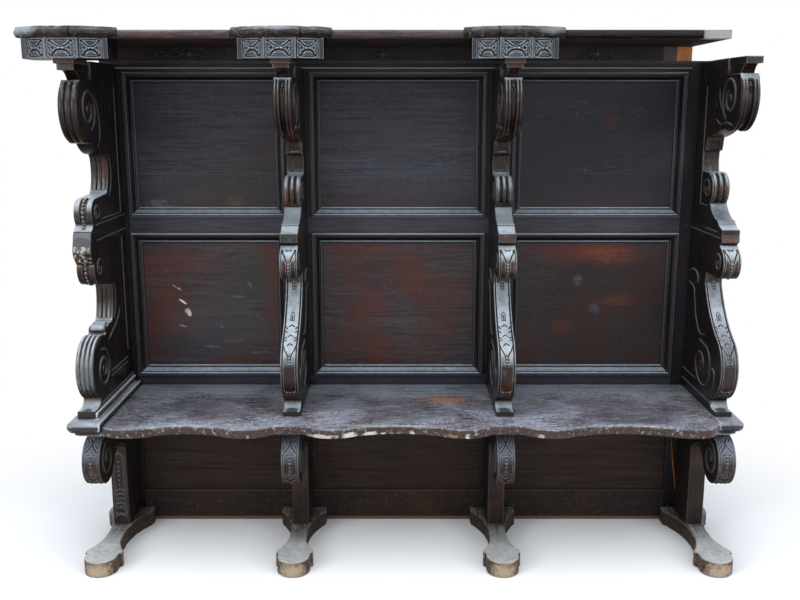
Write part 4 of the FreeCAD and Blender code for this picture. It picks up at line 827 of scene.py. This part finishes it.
def alongCurves(name, lines, tree, values):
    curve = bpy.data.curves.new(name + "_lines", "CURVE")
    curve.dimensions = "3D"
    for line, thick, taper in lines:
        spline = curve.splines.new("POLY")
        spline.points.add(len(line) - 1)
        for k, point in enumerate(line):
            ends = min(k, len(line) - 1 - k)
            spline.points[k].co = (*[c * mm for c in point], 1)
            spline.points[k].radius = thick * min(1, 0.35 + ends * 0.22) if taper else thick
    holder = linked(name + "_lines", curve)
    modifier = holder.modifiers.new("nodes", "NODES")
    modifier.node_group = tree
    for item in tree.interface.items_tree:
        if item.in_out == "INPUT" and item.name in values:
            modifier[item.identifier] = values[item.name]
    mesh = bpy.data.meshes.new_from_object(holder.evaluated_get(bpy.context.evaluated_depsgraph_get()))
    mesh.name = name
    bpy.data.objects.remove(holder)
    return finishPiece(linked(name, mesh), "carved_walnut")


sideRelief = {
    "strapUpper": [
        spiral((293, 1450), 66, 24, 1.35, 250), spiral((140, 1171), 34, 15, 1.1, 200),
        smoothed([(182, 1388), (225, 1372), (275, 1378), (328, 1371)]),
        smoothed([(268, 1392), (238, 1412), (210, 1440), (196, 1478)]),
    ],
    "reededUpper": [
        spiral((305, 1428), 66, 24, 1.35, 250), spiral((286, 1121), 28, 12, 1, 200),
        smoothed([(215, 1330), (205, 1372), (214, 1420), (232, 1462)]),
        smoothed([(138, 1292), (122, 1245), (128, 1200), (150, 1160)]),
    ],
    "strapLower": [
        smoothed([(2, 898), (53, 912), (99, 906), (110, 885), (92, 872)]),
        smoothed([(9, 866), (72, 854), (87, 820), (114, 760), (158, 723), (207, 726)]),
        smoothed([(158, 702), (200, 696), (242, 689), (270, 661), (276, 616), (262, 584), (230, 566),
                  (190, 566), (150, 590), (136, 625), (152, 655), (186, 662), (212, 640), (208, 615),
                  (186, 606)]),
        smoothed([(285, 640), (316, 634), (322, 600), (312, 566)]),
        spiral((286, 970), 30, 13, 1, 160),
    ],
    "reededLower": [
        spiral((312, 645), 62, 22, 1.5, 80, handed=1), spiral((288, 955), 30, 13, 1, 160),
        smoothed([(178, 772), (158, 810), (152, 850), (162, 888)]),
        smoothed([(250, 720), (200, 740), (150, 760), (110, 800)]),
    ],
    "console": [spiral((335, 362), 54, 20, 1.3, 100), smoothed([(160, 345), (215, 368), (262, 366)])],
}
sideEyes = {
    "strapUpper": [((293, 1450), 12), ((140, 1171), 9), ((178, 1431), 6), ((247, 1425), 6)],
    "reededUpper": [((305, 1428), 12), ((286, 1121), 8), ((226, 1319), 6)],
    "strapLower": [((286, 970), 8), ((186, 632), 8)],
    "reededLower": [((312, 645), 11), ((288, 955), 8)],
    "console": [((335, 362), 10)],
}
ribs = {
    "stand": 26.6, "thick": {"great scroll": 1.7, "others": 1.25}, "radius": 3.1, "sides": 10,
    "straightStand": 26.8, "straightThick": 0.8,
    # straight ribs and base lines on the inner sides of the end wings: (reach, height) to (reach, height)
    "left": [(2, 1088, 300, 1088), (2, 1041, 300, 1041), (60, 615, 238, 615), (60, 600, 238, 600),
             (2, 537, 350, 537), (2, 546, 350, 546), (42, 1100, 42, 1500), (50, 640, 50, 1020),
             (42, 1100, 240, 1100)],
    "right": [(144, 1062, 262, 1062), (2, 530, 300, 530), (2, 565, 140, 565), (80, 1132, 80, 1500),
              (80, 1132, 150, 1132), (2, 1046, 290, 1046)],
}
ribLines, eyes = [], []
for wing in wingX:
    kind = "reeded" if wing == "left" else "strap"
    for pattern in (kind + "Upper", kind + "Lower", "console"):
        lift = 12 if wing == "right" and pattern == "strapUpper" else 0
        for side in (-1, 1):
            x = wingX[wing] + side * ribs["stand"]
            for number, line in enumerate(sideRelief[pattern]):
                thick = ribs["thick"]["others" if number else "great scroll"]
                ribLines.append(([(x, faceY - r, z + lift) for r, z in line], thick, True))
            for (r, z), radius in sideEyes[pattern]:
                eyes.append((x, faceY - r, z + lift, radius, side))
for wing, inward in (("left", 1), ("right", -1)):
    x = wingX[wing] + inward * ribs["straightStand"]
    for r0, z0, r1, z1 in ribs[wing]:
        ribLines.append(([(x, faceY - r0, z0), (x, faceY - r1, z1)], ribs["straightThick"], False))
alongCurves("scroll_ribs", ribLines, curveTree("reliefRib", {"Rib radius": "Float", "Sides": "Int"}, sweptRib),
            {"Rib radius": ribs["radius"] * mm, "Sides": ribs["sides"], "Wood": shadeWalnut})


def buttons(name, places, material, low=0.45, around=18, rings=5):
    # low turned buttons; the axis of each is along X and its side says which way it faces
    points, faces = [], []
    for x, y, z, radius, side in places:
        base = len(points)
        points.append((x + radius * low * side, y, z))
        for tilt in [ring / rings * math.pi / 2 for ring in range(1, rings + 1)]:
            for turn in [k / around * 2 * math.pi for k in range(around)]:
                points.append((x + radius * low * math.cos(tilt) * side,
                               y + radius * math.sin(tilt) * math.cos(turn),
                               z + radius * math.sin(tilt) * math.sin(turn)))
        for k in range(around):
            n = (k + 1) % around
            mine = [(base, base + 1 + k, base + 1 + n)]
            for a in range(base + 1, base + 1 + (rings - 1) * around, around):
                mine.append((a + k, a + around + k, a + around + n, a + n))
            faces.extend(f if side > 0 else f[::-1] for f in mine)
        rim = tuple(range(len(points) - around, len(points)))
        faces.append(rim[::-1] if side > 0 else rim)
    piece = makeMesh(name, [tuple(c * mm for c in p) for p in points], faces, [], material)
    return finishPiece(piece, "carved_walnut")


buttons("scroll_eyes", eyes, shadeWalnut)

# bead strings between plain bands on the two small volutes of the left end
beadLines = []
for pattern, firstCorner, lastCorner in ((reededUpper, 3, 6), (reededLower, 13, 15)):
    rows, at = samplePath(pattern["corners"], 2)
    shown = slice(at[firstCorner], at[lastCorner] + 1)
    inset = rows[shown] - outwards(rows)[shown]
    beadLines.append(([(wingX["left"], faceY - r, z) for r, z in inset], 1, False))
beadInputs = {"Bead radius": "Float", "Spacing": "Float", "Seed": "Int"}
alongCurves("volute_beads", beadLines, curveTree("beadString", beadInputs, beadString),
            {"Bead radius": 5.4 * mm, "Spacing": 12.5 * mm, "Seed": 3, "Wood": carvedWalnut})
print("scrolls and beads set on the wings")


mouldingShape = {
    "proud": 11,      # crown in front of the frame
    "wide": {"lower": 35, "upper": 33},
    "ground": -11,    # face of the panel, behind the face of the frame
}


def mouldingProfile(wide):
    proud, ground = mouldingShape["proud"], mouldingShape["ground"]
    out = [(0, -3), (0, proud - 4)]
    for turn in [math.pi * (1 - k / 8) for k in range(9)]:              # rounded crown
        out.append((6 + 6 * math.cos(turn), proud - 4 + 4 * math.sin(turn)))
    out += [(12.2, proud - 7), (14.4, proud - 7.2)]
    for turn in [k / 7 * math.pi / 2 for k in range(8)]:                # hollow down to the inner bead
        fall = (proud - 12 - ground) * (1 - math.sin(turn)) ** 1.35
        out.append((14.6 + (wide - 25.2) * math.sin(turn), ground + 4 + fall))
    out.append((wide - 9.4, ground + 2.6))
    for turn in [math.pi * (1 - k / 7) for k in range(8)]:              # bead against the panel
        out.append((wide - 4.2 + 4.2 * math.cos(turn), ground + 2.2 + 3.4 * math.sin(turn)))
    return out + [(wide, ground - 0.5)]


def panelMoulding(row, bay):
    node = f"{row}_moulding_{bay}"
    low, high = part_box(node)
    x0, x1, z0, z1 = low.x / mm, high.x / mm, low.z / mm, high.z / mm
    profile = mouldingProfile(mouldingShape["wide"][row])
    points, faces = [], []
    for cornerX, cornerZ, inX, inZ in ((x0, z0, 1, 1), (x1, z0, -1, 1), (x1, z1, -1, -1), (x0, z1, 1, -1)):
        for inward, proud in profile:
            points.append(((cornerX + inX * inward) * mm, (faceY - proud) * mm, (cornerZ + inZ * inward) * mm))
    count = len(profile)
    for here in range(0, 4 * count, count):
        there = (here + count) % (4 * count)
        faces += [(here + k, there + k, there + k + 1, here + k + 1) for k in range(count - 1)]
    piece = makeMesh("profiled_" + node, points, faces, [], mouldingWalnut, sharpAngle=28)
    finishPiece(piece, "panelled_walnut", node)


for row in ("lower", "upper"):
    for bay in bays:
        panelMoulding(row, bay)
print("mouldings run")


# worn pieces are the frame's own solids with softened, knocked edges
def wornCopy(node, name, wear, material, slot):
    solid = bmesh.new()
    solid.from_mesh(nodes[node].data)
    bmesh.ops.remove_doubles(solid, verts=solid.verts, dist=1e-6)
    bmesh.ops.dissolve_limit(solid, angle_limit=math.radians(1), verts=solid.verts, edges=solid.edges)
    plain = bpy.data.meshes.new(name + "_plain")
    solid.to_mesh(plain)
    solid.free()
    holder = linked(name + "_plain", plain)
    rounded = holder.modifiers.new("rounded", "BEVEL")
    rounded.width = wear["soften"] * mm
    rounded.segments = 4
    rounded.limit_method = "ANGLE"
    rounded.angle_limit = math.radians(25)
    if "voxel" in wear:
        remesh = holder.modifiers.new("remesh", "REMESH")
        remesh.mode = "VOXEL"
        remesh.voxel_size = wear["voxel"] * mm
        remesh.use_smooth_shade = True
    else:
        holder.modifiers.new("shading", "WEIGHTED_NORMAL")
    worn = bpy.data.meshes.new_from_object(holder.evaluated_get(bpy.context.evaluated_depsgraph_get()))
    bpy.data.objects.remove(holder)
    if "depth" in wear:
        places, normals = np.empty((2, len(worn.vertices) * 3))
        worn.vertices.foreach_get("co", places)
        worn.vertices.foreach_get("normal", normals)
        places, normals = places.reshape(-1, 3), normals.reshape(-1, 3)
        scaled = [Vector(p) for p in places / (np.array(wear["size"]) * mm)]
        knocks = np.array([noise.noise(p) + 0.5 * noise.noise(p * 2.7) for p in scaled])
        places -= normals * (np.clip(knocks, 0, None) * wear["depth"] * mm)[:, None]
        low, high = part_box(node)
        worn.vertices.foreach_set("co", np.clip(places, tuple(low), tuple(high)).ravel())
    worn.polygons.foreach_set("use_smooth", [True] * len(worn.polygons))
    worn.materials.clear()
    worn.materials.append(material)
    worn.name = name
    finishPiece(linked(name, worn), slot, node)


wear = {
    "seat": {"soften": 5},
    "sill": {"soften": 4, "voxel": 2.6, "depth": 0.6, "size": (14, 30, 14)},
    "foot": {"soften": 4.5, "voxel": 2.8, "depth": 1.8, "size": (16, 22, 16)},
    "cap": {"soften": 8, "voxel": 2.6, "depth": 2.8, "size": (34, 20, 12)},
    "nosing": {"soften": 7, "voxel": 2.2, "depth": 2.6, "size": (42, 20, 14)},
}
wornCopy("seat_board", "scuffed_seat", wear["seat"], seatWalnut, "seat_walnut")
for side in ("left", "right"):
    wornCopy("end_sill_" + side, "worn_sill_" + side, wear["sill"], sillWalnut, "seat_walnut")
for wing in wingX:
    wornCopy("foot_" + wing, "worn_foot_" + wing, wear["foot"], footWalnut, "carved_walnut")
for bay in bays:
    wornCopy("canopy_cap_" + bay, "worn_cap_" + bay, wear["cap"], canopyWalnut, "canopy_walnut")
    wornCopy("canopy_nosing_" + bay, "worn_nosing_" + bay, wear["nosing"], nosingWalnut, "canopy_walnut")
print("worn pieces made")


# bracket blocks under the canopy: a carved tablet between two bows
block = {
    "plan": [(121, 290), (121, 388), (108, 388), (108, 384), (46, 411, 6), (46, 418), (-46, 418), (-46, 411),
             (-108, 384, 6), (-108, 388), (-121, 388), (-121, 290)],
    "low": 1568, "high": 1625,
    "faces": [(139, 34, 4.4), (52, 27, 3.6), (226, 27, 3.6)],      # tablet and bows: middle, half width, hole
    "upperArc": [(3, 3), (9, 4.5), (16, 8.5), (23, 14), (29, 20)],
    "lowerArc": [(0, -4.2), (8, -5), (15, -8), (21, -13.5), (25, -20.5)],
}


def crossedArcs(middle, wide, hole):
    # thin arcs drop from the upper corners to a pair of beads, over a bold arch with a pillow inside
    marks = [("ridge", [(middle - 0.32 * wide, -16.5), (middle + 0.32 * wide, -16.5)], 5.6, 2.6, "once")]
    for side in (-1, 1):
        half = side * wide
        upper, lower = [[(middle + u * half / 34, w) for u, w in block[arc]]
                        for arc in ("upperArc", "lowerArc")]
        marks += [
            ("cut", upper, 1.9, 2.6, "once"), ("cut", lower, 2.8, 3.4, "once"),
            ("ridge", [(u, w + 4.4) for u, w in upper[1:]], 1.6, 1.6, "once"),
            ("hole", middle + 0.93 * half, 18.5, 3.4, 3), ("hole", middle + 0.66 * half, 0, hole, 3.2),
            ("hole", middle + 0.9 * half, 7.5, hole * 0.55, 2.4), ("bead", middle + side * 5.5, 0, 4.2, 3.8),
            ("cut", [(middle + 0.88 * half, 22.5), (middle, 22.5)], 1.4, 2.2),
            ("cut", [(middle + 1.2 * half, 25), (middle + 1.2 * half, -25)], 1.1, 1.8)]
    return marks


for bay, wing in zip(bays, wingX):
    pattern = [("hole", block["faces"][0][0] + aside, 0, 2.2, 2) for aside in (-40, 40)]
    for face in block["faces"]:
        pattern += crossedArcs(*face)
    half = (block["high"] - block["low"]) / 2
    board = boardMesh(block["plan"], (1, 10), lying(wingX[wing], block["low"] + half), half, pattern,
                      step=1.25, columns=46)
    finishPiece(makeMesh("carved_block_" + bay, *board, blockWalnut, sawnWalnut), "canopy_walnut",
                "canopy_block_" + bay)

# low flowers between leaves on the frieze, one in each bay; only the first keeps its long leaves
friezeFlower = {
    "middles": (-667.7, -48.2, 640), "height": 1602, "half": (118, 20), "leaf": 5.4,
    "petals": [(-16, 12), (16, 12), (0, 17), (-24, 3), (24, 3)],
    "leaves": [([(40, 8), (46, 16), (34, 18)], 3.8), ([(26, 0), (40, 8), (56, 9), (70, 2)], 4.2),
               ([(70, 2), (84, 9), (98, 7), (112, 0.1)], 3.8)],
}
middle, tall = friezeFlower["half"]
leaf = friezeFlower["leaf"]
for number, x in enumerate(friezeFlower["middles"], start=1):
    flower = [("bead", middle, 0, 5, 6.5), ("hole", middle, 0, 2.2, 3)]
    flower += [("ridge", [(middle, 0), (middle + u, w)], 4.2, leaf) for u, w in friezeFlower["petals"]]
    for line, half in friezeFlower["leaves"][:3 if number == 1 else 1]:
        flower += [("ridge", [(middle + side * u, w) for u, w in line], half, leaf) for side in (-1, 1)]
    board = boardMesh([(middle, -4), (middle, -1), (-middle, -1), (-middle, -4)], (1, 2),
                      lying(x, friezeFlower["height"]), tall, flower, step=1.8, columns=30)
    finishPiece(makeMesh(f"frieze_flower_{number}", *board, friezeCarvingWalnut), "panelled_walnut")
print("canopy carved")


finishes = {
    "upper_panel": upperPanelWalnut, "lower_panel": lowerPanelWalnut, "plinth_panel": plinthWalnut,
    "end_stile": stileWalnut, "upper_muntin": stileWalnut, "lower_muntin": stileWalnut,
    "plinth_muntin": stileWalnut, "top_rail": railWalnut, "mid_rail": railWalnut, "seat_rail": railWalnut,
    "bottom_rail": bottomRailWalnut, "frame_pegs": stileWalnut, "frieze_board": friezeWalnut,
    "frieze_bead": beadWalnut, "canopy_board": boardWalnut, "block_plates": plateWalnut,
}
for name, node in nodes.items():
    for start, material in finishes.items():
        if name.startswith(start):
            node.data.materials.clear()
            node.data.materials.append(material)
print("frame finished")


def seenDirectly(tree):
    path = addNode(tree, "ShaderNodeLightPath")
    seen = path["Is Camera Ray"]
    for ray in ("Is Glossy Ray", "Is Transmission Ray"):
        seen = addNode(tree, "ShaderNodeMath", {0: seen, 1: path[ray]}, operation="MAXIMUM")[0]
    return seen


stage = {
    "floor": [(-30, -12, 0), (30, -12, 0), (30, 40, 0), (-30, 40, 0)], "paper": "f6f6f6",
    "stretch": (0.3, 0.42, 1), "fade": (0.36, 0.62),       # where the paper passes into the backdrop
    "ceiling": "e6eefa", "glow": (-0.1, 0.9, 0.22, 1.15),   # most of the light comes down from a high ceiling
    # name, place, aim, size, watts
    "lamps": [("overheadSoftbox", (0, -1.3, 3.6), (0, 0, 0.6), 2.6, 60),
              ("leftSoftbox", (-3, -3, 2.2), (0, 0.1, 0.9), 1.8, 45),
              ("rightSoftbox", (3.2, -2.8, 1.9), (0, 0.1, 0.8), 1.8, 30)],
    "lens": 42.19, "camera": (0.0064, -2.8853, 1.4325), "pitch": 78.43,
}

paper = bpy.data.materials.new("mattPaper")     # matt white paper sweep, fading into the backdrop
tree = freshTree(paper)
place = addNode(tree, "ShaderNodeTexCoord")["Object"]
centred = addNode(tree, "ShaderNodeMapping", {"Vector": place, "Scale": stage["stretch"]})[0]
away = addNode(tree, "ShaderNodeVectorMath", {0: centred}, operation="LENGTH")["Value"]
fade = addNode(tree, "ShaderNodeMath", {0: mask(tree, (away, *stage["fade"], 0, 1)), 1: seenDirectly(tree)},
               operation="MULTIPLY")[0]
matt = addNode(tree, "ShaderNodeBsdfDiffuse", {"Color": colour(stage["paper"]), "Roughness": 1})
backdrop = addNode(tree, "ShaderNodeEmission", {"Color": (1, 1, 1, 1), "Strength": 1})
mixed = addNode(tree, "ShaderNodeMixShader", {0: fade, 1: matt[0], 2: backdrop[0]})
addNode(tree, "ShaderNodeOutputMaterial", {0: mixed[0]})
floorMesh = bpy.data.meshes.new("floor")
floorMesh.from_pydata(stage["floor"], [], [(0, 1, 2, 3)])
floorMesh.materials.append(paper)
floor = linked("floor", floorMesh)

world = bpy.data.worlds.new("studio")
tree = freshTree(world)
direction = addNode(tree, "ShaderNodeTexCoord")["Generated"]
upward = addNode(tree, "ShaderNodeSeparateXYZ", {0: direction})[2]
ceiling = addNode(tree, "ShaderNodeBackground", {
    "Color": colour(stage["ceiling"]), "Strength": mask(tree, (upward, *stage["glow"]))})
backdrop = addNode(tree, "ShaderNodeBackground", {"Color": (1, 1, 1, 1), "Strength": 1})
mixed = addNode(tree, "ShaderNodeMixShader", {0: seenDirectly(tree), 1: ceiling[0], 2: backdrop[0]})
addNode(tree, "ShaderNodeOutputWorld", {0: mixed[0]})
bpy.context.scene.world = world

for name, place, aim, size, watts in stage["lamps"]:
    lamp = bpy.data.lights.new(name, "AREA")
    lamp.shape = "SQUARE"
    lamp.size = size
    lamp.energy = watts
    holder = linked(name, lamp)
    holder.location = place
    holder.rotation_euler = (Vector(aim) - Vector(place)).to_track_quat("-Z", "Y").to_euler()

lens = bpy.data.cameras.new("camera")
lens.lens = stage["lens"]
lens.sensor_width = 36
camera = linked("camera", lens)
camera.location = stage["camera"]
camera.rotation_euler = (math.radians(stage["pitch"]), 0, 0)
bpy.context.scene.camera = camera
bpy.context.scene.view_settings.view_transform = "Standard"
print("stage set")
